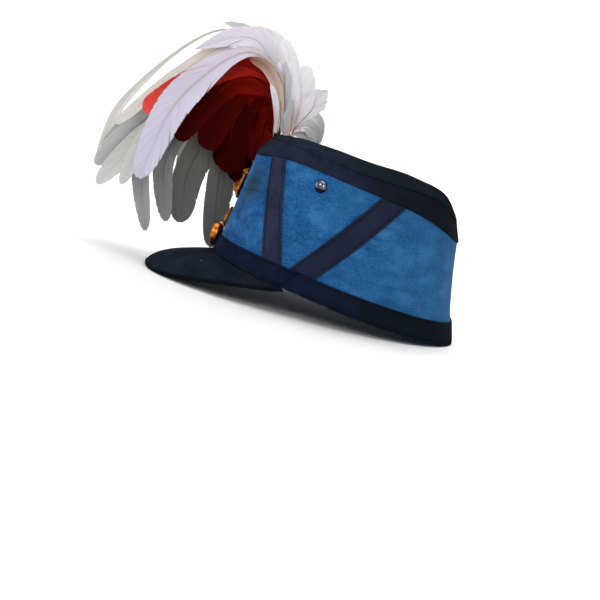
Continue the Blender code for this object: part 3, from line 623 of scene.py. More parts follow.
def mix_colours(tree, share, first, second, blend_type="MIX"):
    """A mix of two colours, each a socket or a plain colour, by a share that is a socket or a number."""
    inputs = {0: share, 6: first, 7: second}
    return node(tree, "Mix", inputs, data_type="RGBA", blend_type=blend_type).outputs[2]


def own_place(tree, axis=None):
    """The place on the piece in metres, or one axis of it."""
    place = node(tree, "TexCoord").outputs["Object"]
    return node(tree, "SeparateXYZ", {"Vector": place}).outputs[axis] if axis else place


def map_place(tree):
    return node(tree, "TexCoord").outputs["UV"]


def laid(tree, place, scale, rotation=(0.0, 0.0, 0.0)):
    """A place turned and then stretched, to give a pattern its lie."""
    return node(tree, "Mapping", {"Vector": place, "Rotation": rotation, "Scale": scale}).outputs["Vector"]


def cloudy(tree, place, scale=1.0, detail=2.0, roughness=0.5):
    """Soft noise from 0 to 1."""
    inputs = {"Vector": place, "Scale": scale, "Detail": detail, "Roughness": roughness}
    return node(tree, "TexNoise", inputs).outputs["Fac"]


def spread(tree, value, low, high, most=1.0, interpolation="LINEAR"):
    """0 where the value is low, rising to most where it is high."""
    inputs = {"Value": value, "From Min": low, "From Max": high, "To Max": most}
    return node(tree, "MapRange", inputs, interpolation_type=interpolation).outputs["Result"]


def raised(tree, height, strength, distance, under=None):
    """A normal bent by a height, on top of the normal under it."""
    inputs = {"Height": height, "Strength": strength, "Distance": distance, "Normal": under}
    return node(tree, "Bump", inputs).outputs["Normal"]


def mottle_group():
    """Soft patches at two sizes, from 0 to 1, in the piece's own place."""
    group, take, give = new_group("soft_mottle", {"Patch Scale": 30.0, "Fleck Scale": 250.0},
                                  ("Patches", "Flecks"))
    place = own_place(group)
    feed(group, give, {"Patches": cloudy(group, place, take["Patch Scale"], 4.0, 0.62),
                       "Flecks": cloudy(group, place, take["Fleck Scale"], 8.0, 0.62)})
    return group


def fibre_group():
    """Short fibres that cross each other: 0 between them and up to 1 on them, and their slow lie."""
    group, _, give = new_group("crossed_fibres", {}, ("Fibres", "Lie"))
    place = own_place(group)
    first, second, third = (
        cloudy(group, laid(group, place, (600.0, 330.0, 1000.0), (turn, 0.0, 0.0)), roughness=0.55)
        for turn in (0.75, -0.6, 0.1))
    most = combined(group, "MAXIMUM", combined(group, "MAXIMUM", first, second), third)
    slow = laid(group, place, (90.0, 48.0, 100.0), (0.35, 0.0, 0.0))
    feed(group, give, {"Fibres": spread(group, most, 0.50, 0.80), "Lie": cloudy(group, slow, detail=3.0)})
    return group


def weave_group():
    """Plain weave on the piece's UV map, which is in metres: threads over and under each other."""
    group, take, give = new_group("plain_weave", {"Threads": 1600.0}, ("Height", "Thread"))
    scaled = node(group, "VectorMath", {0: map_place(group), "Scale": take["Threads"]},
                  operation="SCALE").outputs["Vector"]
    split = node(group, "SeparateXYZ", {"Vector": scaled}).outputs
    warp, weft = (combined(group, "SINE", combined(group, "MULTIPLY", split[axis], math.pi))
                  for axis in "XY")
    uneven = node(group, "VectorMath", {0: scaled, 1: (0.12, 0.7, 1.0)}, operation="MULTIPLY")
    feed(group, give, {"Height": combined(group, "MULTIPLY", warp, weft),
                       "Thread": cloudy(group, uneven.outputs["Vector"])})
    return group


def felt_finish(mottle, fibres):
    """Blue wool felt: soft patches, a lie that runs round the crown, and paler fibres on top.

    It is darker in its creases and puckers as painted shade, has a painted shadow beside the crest, and is
    greyer towards the back."""
    finish, tree = new_finish("blue_felt")
    soft = use_group(tree, mottle, Patch_Scale=60.0, Fleck_Scale=420.0)
    hairy = use_group(tree, fibres)
    patches = combined(tree, "ADD", soft["Patches"], hairy["Lie"])
    patches = combined(tree, "ADD", patches, combined(tree, "MULTIPLY", soft["Flecks"], 0.3))
    patches = combined(tree, "DIVIDE", patches, 2.3)
    colour = ramp(tree, ((0.39, (0.004, 0.052, 0.184)), (0.50, (0.010, 0.084, 0.260)),
                         (0.59, (0.028, 0.134, 0.342))), patches)
    fold = node(tree, "Attribute", attribute_name="fold").outputs["Fac"]
    away = node(tree, "VectorMath", {0: own_place(tree), 1: FELT_SHADOW_SPOT}, operation="DISTANCE")
    for share, shade in (
            (combined(tree, "MULTIPLY", hairy["Fibres"], 0.62), (0.050, 0.215, 0.440)),
            # painted shade in the felt's creases and puckers
            (combined(tree, "MULTIPLY", fold, 0.8), (0.003, 0.040, 0.145)),
            # painted shadow on the felt beside the crest, darkest at its middle
            (spread(tree, away.outputs["Value"], 0.024, 0.003, 0.9, "SMOOTHSTEP"), (0.009, 0.036, 0.062)),
            (spread(tree, own_place(tree, "Y"), 0.02, 0.165, 0.5), (0.022, 0.100, 0.188))):
        colour = mix_colours(tree, share, colour, shade)
    nap = raised(tree, hairy["Fibres"], 0.3, 0.0005)
    return surface(finish, {
        "Base Color": colour, "Roughness": 0.95, "Specular IOR Level": 0.06,
        "Sheen Weight": 0.06, "Sheen Roughness": 0.6, "Sheen Tint": (0.45, 0.70, 0.9),
        "Normal": raised(tree, patches, 0.4, 0.0025, nap)})


def cloth_finish(name, mottle, weave, dark, light, threads=1500.0, roughness=0.9, lint=0.0, back=None,
                 gloss=0.02):
    """Woven cloth between a dark and a light shade: uneven threads, soft patches, and how it shines.

    It has pale lint if asked for, and back gives painted shade towards the back of the hat, given as a
    darker colour and the places along Y where that starts and ends."""
    finish, tree = new_finish(name)
    soft = use_group(tree, mottle, Patch_Scale=55.0)
    woven = use_group(tree, weave, Threads=threads)
    patches = combined(tree, "ADD", combined(tree, "MULTIPLY", woven["Thread"], 0.3),
                       combined(tree, "MULTIPLY", soft["Patches"], 0.7))
    colour = ramp(tree, ((0.38, dark), (0.62, light)), patches)
    if lint:
        for scale, squash, size in ((42.0, 1.0, 0.030), (26.0, 4.0, 0.016)):
            place = laid(tree, own_place(tree), (scale, scale * squash, scale * squash), (0.4, 0.9, 0.6))
            specks = node(tree, "TexVoronoi", {"Vector": place, "Scale": 1.0}).outputs["Distance"]
            near = ramp(tree, ((size, (1.0, 1.0, 1.0)), (size * 1.6, (0.0, 0.0, 0.0))), specks)
            colour = mix_colours(tree, combined(tree, "MULTIPLY", near, lint), colour, (0.30, 0.33, 0.38))
    # painted shade: darker towards the back of the hat
    if back:
        shade, first, last = back
        colour = mix_colours(tree, spread(tree, own_place(tree, "Y"), first, last, 0.9), colour, shade)
    relief = raised(tree, woven["Height"], 0.4, 0.0002)
    return surface(finish, {"Base Color": colour, "Roughness": roughness, "Specular IOR Level": gloss,
                            "Normal": raised(tree, soft["Patches"], 0.3, 0.001, relief)})


def metal_finish(name, mottle, dark, light, roughness, foot=None):
    """Plated metal with tarnish. If foot is given, it is two heights between which the metal darkens
    downwards: a painted dark reflection on the lower part of the piece.
    """
    finish, tree = new_finish(name)
    worn = use_group(tree, mottle, Patch_Scale=260.0, Fleck_Scale=1800.0)
    colour = ramp(tree, ((0.38, dark), (0.58, light)), worn["Patches"])
    if foot:
        # painted dark reflection, darker towards the bottom of the piece
        colour = mix_colours(tree, spread(tree, own_place(tree, "Z"), *foot), (0.010, 0.010, 0.014), colour)
    dull = ramp(tree, ((0.35, (roughness * 1.4,) * 3), (0.65, (roughness,) * 3)), worn["Patches"])
    return surface(finish, {"Base Color": colour, "Roughness": dull, "Metallic": 1.0,
                            "Normal": raised(tree, worn["Flecks"], 0.15, 0.0001)})


def tinted(tree, low, high, source):
    """The colour that the piece carries at each point, shaded by a ramp of two stops."""
    tint = node(tree, "Attribute", attribute_name="tint").outputs["Color"]
    return mix_colours(tree, 1.0, tint, ramp(tree, (low, high), source), "MULTIPLY")


def feather_finish(name, gloss):
    """Barbs run across the vane: the UV map holds the place along the shaft and across the vane."""
    finish, tree = new_finish(name)
    barbs = cloudy(tree, laid(tree, map_place(tree), (800.0, 40.0, 1.0)), detail=3.0, roughness=0.6)
    colour = tinted(tree, (0.30, (0.80, 0.79, 0.82)), (0.55, (1.0, 1.0, 1.0)), barbs)
    return surface(finish, {"Base Color": colour, "Roughness": 0.75, "Specular IOR Level": gloss,
                            "Normal": raised(tree, barbs, 0.35, 0.0004)})


def quill_finish():
    finish, tree = new_finish("quill")
    grain = cloudy(tree, own_place(tree), 900.0, 3.0)
    colour = tinted(tree, (0.35, (0.82, 0.78, 0.74)), (0.6, (1.0, 1.0, 1.0)), grain)
    return surface(finish, {"Base Color": colour, "Roughness": 0.38})


# ---------------------------------------------------------------- making pieces

def deselect():
    if bpy.context.object and bpy.context.object.mode != "OBJECT":
        bpy.ops.object.mode_set(mode="OBJECT")
    bpy.ops.object.select_all(action="DESELECT")


def finish_with(piece, **modifiers):
    """Adds each modifier with its settings and applies it."""
    deselect()
    piece.select_set(True)
    bpy.context.view_layer.objects.active = piece
    for kind, settings in modifiers.items():
        made = piece.modifiers.new(kind, kind.upper())
        for key, value in settings.items():
            setattr(made, key, value)
        bpy.ops.object.modifier_apply(modifier=made.name)


def stand_up(piece, finish, slot, *replaced):
    """Puts a piece made in the hat's frame where it stands, and hands it to the frame."""
    piece.data.transform(STAND)
    piece.data.materials.clear()
    piece.data.materials.append(finish)
    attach(piece, "root")
    if replaced:
        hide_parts(*replaced)


def cloth_piece(name, grid, size, shape, thickness, finish, slot, replaced,
                offset=-1.0, edge=None, closed=False, fold_shades=None):
    """A sheet of cloth laid on the form that shape(s, t) gives, made thick and stood in its place.

    Grid is its steps and size its millimetres, across and up; edge is how far its edges are rounded,
    and closed joins its two ends. Folds, if given, is a list that shape fills, a value a vertex, for the
    finish to read as painted shade in the felt's creases and puckers."""
    deselect()
    bpy.ops.mesh.primitive_grid_add(x_subdivisions=grid[0], y_subdivisions=grid[1], size=1.0, calc_uvs=True)
    sheet = bpy.context.object
    sheet.name = name
    for loop in sheet.data.uv_layers.active.data:
        loop.uv = (loop.uv[0] * size[0] * MM, loop.uv[1] * size[1] * MM)
    for vertex in sheet.data.vertices:
        vertex.co = shape(vertex.co.x + 0.5, vertex.co.y + 0.5)
    # painted shade for the creases and puckers, kept on each vertex for the finish to read
    if fold_shades:
        sheet.data.attributes.new("fold", "FLOAT", "POINT").data.foreach_set("value", fold_shades)
    if closed:
        bpy.ops.object.mode_set(mode="EDIT")
        bpy.ops.mesh.select_all(action="SELECT")
        bpy.ops.mesh.remove_doubles(threshold=0.00001)
        bpy.ops.object.mode_set(mode="OBJECT")
    modifiers = {"solidify": {"thickness": thickness * MM, "offset": offset}}
    if edge:
        modifiers["bevel"] = {"width": edge * MM, "segments": 3, "limit_method": "ANGLE",
                              "angle_limit": 1.0}
    finish_with(sheet, **modifiers)
    stand_up(sheet, finish, slot, replaced)


def tube_faces(first, rings, steps):
    """The faces of a closed tube, made of rings of vertices that follow each other from the first."""
    faces = []
    for start in range(first, first + (rings - 1) * steps, steps):
        for j in range(steps):
            a, b = start + j, start + (j + 1) % steps
            faces.append((a, b, b + steps, a + steps))
    last = first + (rings - 1) * steps
    return faces + [tuple(reversed(range(first, first + steps))), tuple(range(last, last + steps))]


def linked(mesh):
    piece = bpy.data.objects.new(mesh.name, mesh)
    bpy.context.collection.objects.link(piece)
    return piece


def outward_faces(mesh, sharp=40):
    """Makes a piece of a closed mesh, its faces turned outwards."""
    shell = bmesh.new()
    shell.from_mesh(mesh)
    bmesh.ops.recalc_face_normals(shell, faces=shell.faces)
    shell.to_mesh(mesh)
    shell.free()
    mesh.shade_smooth()
    mesh.set_sharp_from_angle(angle=math.radians(sharp))
    return linked(mesh)


def skin(name, rings):
    """A closed skin over a row of rings, with a UV map in metres."""
    steps = len(rings[0])
    spots = []
    far = 0.0
    for ring, after in zip(rings, rings[1:]):
        near, far = far, far + (after[0] - ring[0]).length
        girth = sum((a - b).length for a, b in zip(ring, ring[1:] + ring[:1]))
        for j in range(steps):
            left, right = j / steps * girth, (j + 1) / steps * girth
            spots += [(near, left), (near, right), (far, right), (far, left)]
    spots += [(point.x, point.z) for point in rings[0][::-1] + rings[-1]]
    mesh = bpy.data.meshes.new(name)
    mesh.from_pydata([point for ring in rings for point in ring], [], tube_faces(0, len(rings), steps))
    layer = mesh.uv_layers.new(name="UVMap")
    for datum, spot in zip(layer.data, spots):
        datum.uv = spot
    return outward_faces(mesh)


def ring_round(centre, sideways, upward, radius, steps):
    return [centre + (sideways * math.cos(2 * math.pi * k / steps)
                      + upward * math.sin(2 * math.pi * k / steps)) * radius * MM for k in range(steps)]


def wander(point, scale, seed):
    """A smooth value from -1 to 1 that changes over 1 / scale metres."""
    return noise.noise(point * scale + Vector((seed, seed * 1.7, seed * 0.3)))


# ---------------------------------------------------------------- felt and cloth

def crown_spot(s):
    """The angle for a share round the crown; the cloth's ends meet at the back."""
    return 2 * math.pi * s - math.pi


def ribbon_edges(angle, level):
    """Millimetres round the crown from a point of it to each ribbon's edges."""
    degrees = abs(math.degrees(math.remainder(angle, 2 * math.pi)))
    for shape in RIBBONS:
        yield (degrees - blend(shape.low_front, shape.high_front, level)) * MM_A_DEGREE
        yield (degrees - blend(shape.low_back, shape.high_back, level)) * MM_A_DEGREE


def felt_relief(point, angle, level):
    """How far the felt stands out, in millimetres, and how much painted shade it gets in its creases and
    puckers, from 0 to 1.

    It has soft dents, creases that run round, and puckers beside the ribbons."""
    dent = 0.22 * wander(point, 45.0, 3.0) + 0.10 * wander(point, 160.0, 8.0)
    lie = Vector((point.x, point.y, point.z * 3.0))
    line = max(0.0, 1.0 - abs(wander(lie, 30.0, 21.0)) / 0.34)
    worn = min(1.0, max(0.0, wander(point, 16.0, 33.0) * 1.6 + 0.55))
    crease = 0.85 * line**2 * worn
    pucker = 0.0
    for edge in ribbon_edges(angle, level):
        away = abs(edge)
        if away < PUCKER_REACH:
            pucker += 0.30 * math.exp(-away / 3.0) * math.sin(level * 62.0 + 3.0 * wander(point, 60.0, 5.0))
    return dent - crease + pucker, min(1.0, crease + max(0.0, -2.0 * pucker) + max(0.0, -dent))


def felt_crown(finish):
    """Felt wall with soft dents, from the rim to just under the top cloth."""
    fold_shades = []

    def shape(s, t):
        angle = crown_spot(s)
        if t <= FELT_TURN:
            level = t / FELT_TURN
            point = crown_point(angle, level, FELT_INSET)
        else:
            share = (t - FELT_TURN) / (1 - FELT_TURN)
            top = lower(crown_point(angle, 2.0, FELT_INSET + 0.5), TOP_CLOTH_THICKNESS + 1.6)
            point = blend(crown_point(angle, 1.0, FELT_INSET), top, share)
            level = 1.0
        free = math.sin(math.pi * min(1.0, level)) ** 0.5
        # the second value is how much painted shade this point gets
        relief, fold = felt_relief(point, angle, level)
        fold_shades.append(fold)
        return point + outward(angle, min(level, 0.95)) * (relief - 0.12) * free * MM

    cloth_piece("felt_crown", (380, 70), (560, 104), shape, FELT_THICKNESS, finish,
                "blue_felt", "crown_wall", closed=True, fold_shades=fold_shades)


def groove(share, places, width, depth):
    """The dip of the cloth along rows of stitches, in millimetres."""
    return sum(-depth * math.exp(-((share - place) / width)**2) for place in places)


def head_band_point(angle, t):
    """A place on the head band's face, with rolled edges and a dip along its stitches."""
    level = head_band_level(angle) * t
    point = crown_point(angle, level, CLOTH_OUTER)
    roll = 0.45 * (abs(2 * t - 1) ** 8)
    wave = 0.14 * wander(point, 60.0, 5.0) * math.sin(math.pi * t)
    pull = groove(t, HEAD_BAND_SEAMS, 0.035, 0.36)
    return point + outward(angle, level) * (wave + pull - roll) * MM


def head_band(finish):
    cloth_piece("head_band_cloth", (360, 26), (576, 16), lambda s, t: head_band_point(crown_spot(s), t),
                CLOTH_THICKNESS * 0.9, finish, "navy_band_cloth", "head_band", closed=True)


def lap_edge(t):
    """The slanted fold of the head band's lap: degrees round from the front, and share of the height."""
    return blend(LAP_LOW_ANGLE, LAP_HIGH_ANGLE, t), 0.02 + 0.96 * t


def head_band_lap(finish):
    """Where the head band's ends cross on the wearer's left: the upper end is folded to a slant."""
    def shape(s, t):
        degrees, height = lap_edge(t)
        angle = math.radians(degrees + LAP_WIDTH * s)
        rise = 1.35 * (1 - s) ** 0.8 - 0.25 * s + 0.6 * math.exp(-(s / 0.10)**2) * t**2
        edge = 0.3 * abs(2 * t - 1) ** 6
        return head_band_point(angle, height) + outward(angle, 0.1) * (rise - edge) * MM

    cloth_piece("head_band_lap", (30, 24), (17, 15), shape, 0.9, finish,
                "navy_band_cloth", "head_band", edge=0.28)


def seam_pull(angle):
    """The uneven pull of the top seam, from -1 to 1."""
    return wander(Vector((angle * 0.07, 0, 0)), 150.0, 2.0)


def top_band_point(angle, t):
    """The top band leans in from the felt, then rolls over the edge of the crown."""
    slack = 0.22 * seam_pull(angle)
    if t <= TOP_BAND_TURN:
        share = t / TOP_BAND_TURN
        point = crown_point(angle, blend(1.0, TOP_BAND_TURN_LEVEL, share), CLOTH_OUTER)
        roll = 0.45 * (1 - share)**16
        wave = 0.20 * wander(point, 60.0, 5.0) * math.sin(math.pi * share)
        pull = groove(t, TOP_BAND_SEAMS, 0.03, 0.34)
        return point + outward(angle, min(1.0 + share, 1.9)) * (wave + pull + slack * share**3 - roll) * MM
    share = (t - TOP_BAND_TURN) / (1 - TOP_BAND_TURN)
    turn = math.pi / 2 * share
    point = crown_point(angle, TOP_BAND_TURN_LEVEL, CLOTH_OUTER + 1.5 * (1 - math.cos(turn)))
    point += outward(angle, 1.9) * slack * (1 - share) * MM
    return lower(point, -0.45 * math.sin(turn))


def top_band(finish):
    cloth_piece("top_band_cloth", (360, 24), (490, 21), lambda s, t: top_band_point(crown_spot(s), t),
                CLOTH_THICKNESS * 0.9, finish, "navy_band_cloth", "top_band", closed=True)


def crown_top_point(angle, share):
    """The top cloth: one arch from front to back that swells inside its seam, with puckers by it."""
    edge = crown_point(angle, 2.0, CLOTH_OUTER + 1.2)
    middle = hat_point(SEAM.centre, 0, 0)
    point = middle + (edge - middle) * share
    reach = (-point.y / MM - SEAM.centre) / (SEAM.half_length - CLOTH_OUTER)
    height = seam_height(math.acos(max(-1.0, min(1.0, reach))))
    height += smooth_value(TOP_DOME, -point.y / MM) * (1 - share**2)
    pucker = 0.32 * seam_pull(angle) * max(0.0, share - 0.86) * 7
    roll = 1.0 * max(0.0, (share - 0.95) / 0.05) ** 2 + 0.3 * max(0.0, (share - 0.80) / 0.2) ** 2
    dent = 0.5 * wander(point, 22.0, 4.0) * (1 - share ** 4)
    return Vector((point.x, point.y, (height + pucker + dent - roll) * MM))


def crown_top(finish):
    cloth_piece("crown_top_cloth", (300, 44), (480, 70),
                lambda s, t: crown_top_point(crown_spot(s), 0.001 + 0.999 * t),
                TOP_CLOTH_THICKNESS * 0.9, finish, "navy_top_cloth", "crown_top", closed=True)


def peak_swell(share, row):
    across = max(0.0, math.cos(math.pi / 2 * share))**1.5
    return PEAK_ARCH * across * 2.0 * row**1.6 * (1 - row)**0.6


def peak(finish):
    def shape(s, t):
        share = 2 * s - 1
        angle = math.radians(PEAK_END_ANGLE) * share
        root = lower(crown_point(angle, 0.0, FELT_INSET + FELT_THICKNESS), GAP)
        forward, left = peak_edge(share)
        tip = hat_point(forward, left, PEAK_THICKNESS - smooth_value(PEAK_EDGE_DROP, forward))
        point = lower(blend(root, tip, t), -peak_swell(share, t))
        free = math.sin(math.pi * min(1.0, t * 1.1)) if t < 0.9 else 0.0
        return lower(point, -PEAK_LIFT - 0.25 * wander(point, 40.0, 6.0) * free)

    cloth_piece("peak_cloth", (200, 44), (300, 60), shape, PEAK_THICKNESS * 0.9, finish,
                "navy_peak_cloth", "peak", offset=1.0, edge=0.8)


def peak_binding(finish):
    """The turned-over cloth along the peak's edge: a soft round roll with its own slight waves."""
    middles = []
    for k in range(PEAK_EDGE_STEPS + 1):
        forward, left = peak_edge(2 * k / PEAK_EDGE_STEPS - 1)
        up = PEAK_THICKNESS * 0.55 - smooth_value(PEAK_EDGE_DROP, forward) + PEAK_LIFT + 0.1
        middles.append(hat_point(forward, left, up))
    rings = []
    for k, middle in enumerate(middles):
        along = middles[min(k + 1, PEAK_EDGE_STEPS)] - middles[max(k - 1, 0)]
        outer = along.cross(Vector((0, 0, 1))).normalized()
        upward = outer.cross(along).normalized()
        closing = min(1.0, 0.25 + min(k, PEAK_EDGE_STEPS - k) / 5)
        thick = closing * (1.0 + 0.05 * wander(middle, 160.0, 12.0))
        ring = []
        for j in range(PEAK_ROLL_STEPS):
            turn = 2 * math.pi * j / PEAK_ROLL_STEPS
            swing = outer * (1.15 * math.cos(turn) - 0.55) + upward * 1.5 * math.sin(turn)
            ring.append(middle + swing * thick * MM)
        rings.append(ring)
    stand_up(skin("peak_edge_roll", rings), finish, "navy_peak_cloth", "peak")


def ribbon_angle(shape, side, s, t):
    front, back = (blend(low, high, t) for low, high in ((shape.low_front, shape.high_front),
                                                         (shape.low_back, shape.high_back)))
    return math.radians(blend(front, back, s)) * side


def ribbon_point(shape, side, s, t):
    """A place on a ribbon's face, s across it and t from the head band up to the top band."""
    angle = ribbon_angle(shape, side, s, t)
    margin = GAP / (fold_height(angle) - rim_height(angle))
    level = blend(head_band_level(angle) + margin, 1.0 - margin, t)
    point = crown_point(angle, level, CLOTH_OUTER)
    press = 0.26 * wander(Vector((t * 0.10, s * 0.012, shape.low_front)), 130.0, 4.0)
    wave = 0.14 * wander(point, 120.0, 9.0) + press - 0.42 * abs(2 * s - 1) ** 12
    wave += groove(s, RIBBON_SEAMS, 0.04, 0.40)
    return point + outward(angle, min(level, 0.97)) * wave * MM


def ribbon(side_name, side, shape, finish):
    """One arm of a V."""
    cloth_piece(f"ribbon_cloth_{side_name}_{shape.name}", (34, 90), (13, 75),
                lambda s, t: ribbon_point(shape, side, s, t), CLOTH_THICKNESS * 0.85, finish,
                "navy_ribbon", f"ribbon_{side_name}_{shape.name}", offset=-side)


# ---------------------------------------------------------------- stitches

def sew(spots, threads, dash_pitch=STITCH_PITCH, dash=STITCH_LENGTH, thick=THREAD_RADIUS):
    """Sews dashes of thread along a row of (point, outward) spots."""
    vertices, faces = threads
    lengths = [0.0]
    for (here, _), (there, _) in zip(spots, spots[1:]):
        lengths.append(lengths[-1] + (there - here).length)
    count = int(lengths[-1] / (dash_pitch * MM))
    pitch = lengths[-1] / count
    step = 0
    for k in range(count):
        faces += tube_faces(len(vertices), len(DASH_RISE), DASH_STEPS)
        for share, rise in DASH_RISE:
            goal = k * pitch + (0.2 + share * dash) * MM
            while step < len(spots) - 2 and lengths[step + 1] < goal:
                step += 1
            (here, near_out), (there, far_out) = spots[step], spots[step + 1]
            t = (goal - lengths[step]) / (lengths[step + 1] - lengths[step])
            middle, out = blend(here, there, t), blend(near_out, far_out, t)
            sideways = (there - here).cross(out).normalized()
            vertices += ring_round(middle + out * rise * MM, sideways, out, thick, DASH_STEPS)


def stitches(finish):
    """All the rows of stitches that show: on the ribbons, on the head band and by the top seam.
    Near-black dashes laid close along the slanted fold of the head band's lap are a painted shadow under that
    fold.
    """
    around = [crown_spot(k / 600) for k in range(601)]
    rows = {
        "stitches_head_band": [[(head_band_point(angle, t), outward(angle, 0.1)) for angle in around]
                               for t in HEAD_BAND_SEAMS],
        "stitches_top_seam": [[(top_band_point(angle, t), outward(angle, 1.8)) for angle in around]
                              for t in TOP_BAND_SEAMS],
    }
    rows["stitches_top_seam"].append(
        [(crown_top_point(angle, 0.962), Vector((0, 0, 1)) + outward(angle, 1.9) * 0.4) for angle in around])
    for name, side in SIDES:
        rows[f"stitches_ribbons_{name}"] = [
            [(ribbon_point(shape, side, s, 0.01 + 0.98 * k / 120),
              outward(ribbon_angle(shape, side, s, k / 120), k / 125)) for k in range(121)]
            for shape in RIBBONS for s in RIBBON_SEAMS]
    # painted shadow under the lap's slanted fold, sewn as close near-black dashes
    crease = []
    for k in range(25):
        degrees, height = lap_edge(k / 24)
        angle = math.radians(degrees - 0.35)
        crease.append((head_band_point(angle, height), outward(angle, 0.1)))
    for name, lines in rows.items():
        threads = ([], [])
        for line in lines:
            sew([(point, out.normalized()) for point, out in line], threads)
        if name == "stitches_head_band":
            sew(crease, threads, 1.0, 1.15, 0.42)
        mesh = bpy.data.meshes.new(name)
        mesh.from_pydata(threads[0], [], threads[1])
        stand_up(outward_faces(mesh, 60), finish, "navy_thread")


# ---------------------------------------------------------------- metal pieces

def front_seat(height, air=GAP):
    """A place on the middle of the front, where a gilt piece sits, and the way it faces."""
    level = (height - rim_height(0.0)) / (fold_height(0.0) - rim_height(0.0))
    return crown_point(0.0, level, FELT_INSET - air), outward(0.0, level)


def badge_spot(seat, across, up, out):
    """A place on a gilt piece, in millimetres from its seat."""
    centre, normal = seat
    sideways = Vector((1, 0, 0))
    return centre + (sideways * across + normal.cross(sideways) * up + normal * out) * MM


def turned(name, centre, normal, profile, steps):
    """A round piece turned from (radius, height) rows, from its back to its face."""
    sideways = Vector((0, 0, 1)).cross(normal).normalized()
    upward = normal.cross(sideways)
    return skin(name, [ring_round(centre + normal * height * MM, sideways, upward, radius, steps)
                       for radius, height in profile])


def stud(side_name, side, finish):
    angle = math.radians(STUD_ANGLE) * side
    normal = outward(angle, STUD_LEVEL)
    centre = crown_point(angle, STUD_LEVEL, FELT_INSET) + normal * GAP * MM
    profile = [(4.3, 0.0), (4.7, 0.15), (4.8, 0.5)]
    for k in range(1, 12):
        turn = math.pi / 2 * k / 11.5
        profile.append((4.8 * math.cos(turn), 0.5 + 3.1 * math.sin(turn)))
    piece = turned(f"nickel_stud_{side_name}", centre, normal, profile, 48)
    stand_up(piece, finish, "nickel", f"stud_{side_name}")


def ball(seat, across, up, out, radius, squash=1.0):
    """A ball of cast metal on a gilt piece, flattened along the way it faces."""
    bpy.ops.mesh.primitive_uv_sphere_add(segments=20, ring_count=12, radius=radius * MM)
    made = bpy.context.object
    place = Matrix.Translation(badge_spot(seat, across, up, out))
    turn = seat[1].to_track_quat("Z", "Y").to_matrix().to_4x4()
    made.data.transform(place @ turn @ Matrix.Diagonal((1.0, 1.0, squash, 1.0)))
    return made


def cast(name, parts, grain, finish, *replaced):
    """Joins the parts and runs them together as one casting."""
    deselect()
    for part in parts:
        part.select_set(True)
    piece = parts[0]
    bpy.context.view_layer.objects.active = piece
    bpy.ops.object.join()
    piece.name = name
    finish_with(piece, remesh={"mode": "VOXEL", "voxel_size": grain * MM},
                smooth={"factor": 0.5, "iterations": 3})
    piece.data.shade_smooth()
    stand_up(piece, finish, "gilt", *replaced)


def crest(finish):
    """Upper badge: a plain pointed shield with a bead edge, a deep round boss low on it, and knobs."""
    seat = front_seat(CREST_HEIGHT)
    left_side = [(-x, y) for x, y in reversed(SHIELD_RIGHT_SIDE[1:])]
    corners = (*SHIELD_RIGHT_SIDE, (0.0, -1.0), *left_side, SHIELD_RIGHT_SIDE[0])
    outline = smooth_path([Vector(corner) for corner in corners], 6)[:-1]
    rings = [[badge_spot(seat, x * CREST_HALF_WIDTH * scale, y * CREST_HALF_HEIGHT * scale, height)
              for x, y in outline] for scale, height in CREST_FACE]
    parts = [skin("crest_plate", rings), ball(seat, 0, CREST_BOSS_UP, 1.6, 5.5, 1.05)]
    for k in range(16):
        turn = 2 * math.pi * k / 16
        parts.append(ball(seat, 6.6 * math.cos(turn), CREST_BOSS_UP + 6.6 * math.sin(turn) * 0.95, 2.2, 0.85))
    parts += [ball(seat, *knob, 0.9) for knob in CREST_KNOBS]
    cast("gilt_crest", parts, 0.32, finish, "crest_badge")


def boss(finish):
    """Small domed boss with a beaded rim."""
    seat = front_seat(BOSS_HEIGHT)
    profile = [(7.9, 0.0), (8.5, 0.5), (8.3, 1.2), (7.2, 1.6), (6.5, 1.2), (6.0, 1.4)]
    profile += [(6.0 * math.cos(turn), 1.4 + 2.2 * math.sin(turn))
                for turn in (0.25, 0.5, 0.75, 1.0, 1.25, 1.45)]
    parts = [turned("boss_plate", *seat, profile, 64)]
    for k in range(24):
        turn = 2 * math.pi * k / 24
        parts.append(ball(seat, 7.5 * math.cos(turn), 7.5 * math.sin(turn), 1.5, 0.7))
    cast("gilt_boss", parts, 0.3, finish, "badge_boss")


def button(finish):
    """Thick button: a deep rim, a ring of ridges, and a low rosette of six petals."""
    centre, normal = front_seat(BUTTON_HEIGHT, GAP + CLOTH_THICKNESS + GAP)
    seat = (centre, (normal - Vector((0, 0, 0.18))).normalized())
    rings = []
    for radius, height, petal, ridge in BUTTON_FACE:
        ring = []
        for k in range(144):
            turn = 2 * math.pi * k / 144
            rise = height - petal * (1 - math.cos(6 * turn)) / 2 - ridge * (1 - math.cos(36 * turn)) / 2
            ring.append(badge_spot(seat, math.cos(turn) * radius, math.sin(turn) * radius, rise))
        rings.append(ring)
    stand_up(skin("gilt_button", rings), finish, "gilt", "band_button")


# ---------------------------------------------------------------- the plume's sleeve and binding

def socket_ends():
    """The ends of the middle line of the plume's sleeve, which lies along the felt."""
    inset = FELT_INSET - SOCKET_AIR - SOCKET_RADIUS
    return (crown_point(math.radians(SOCKET_ANGLE), level, inset)
            for level in (SOCKET_LOW_LEVEL, SOCKET_HIGH_LEVEL))


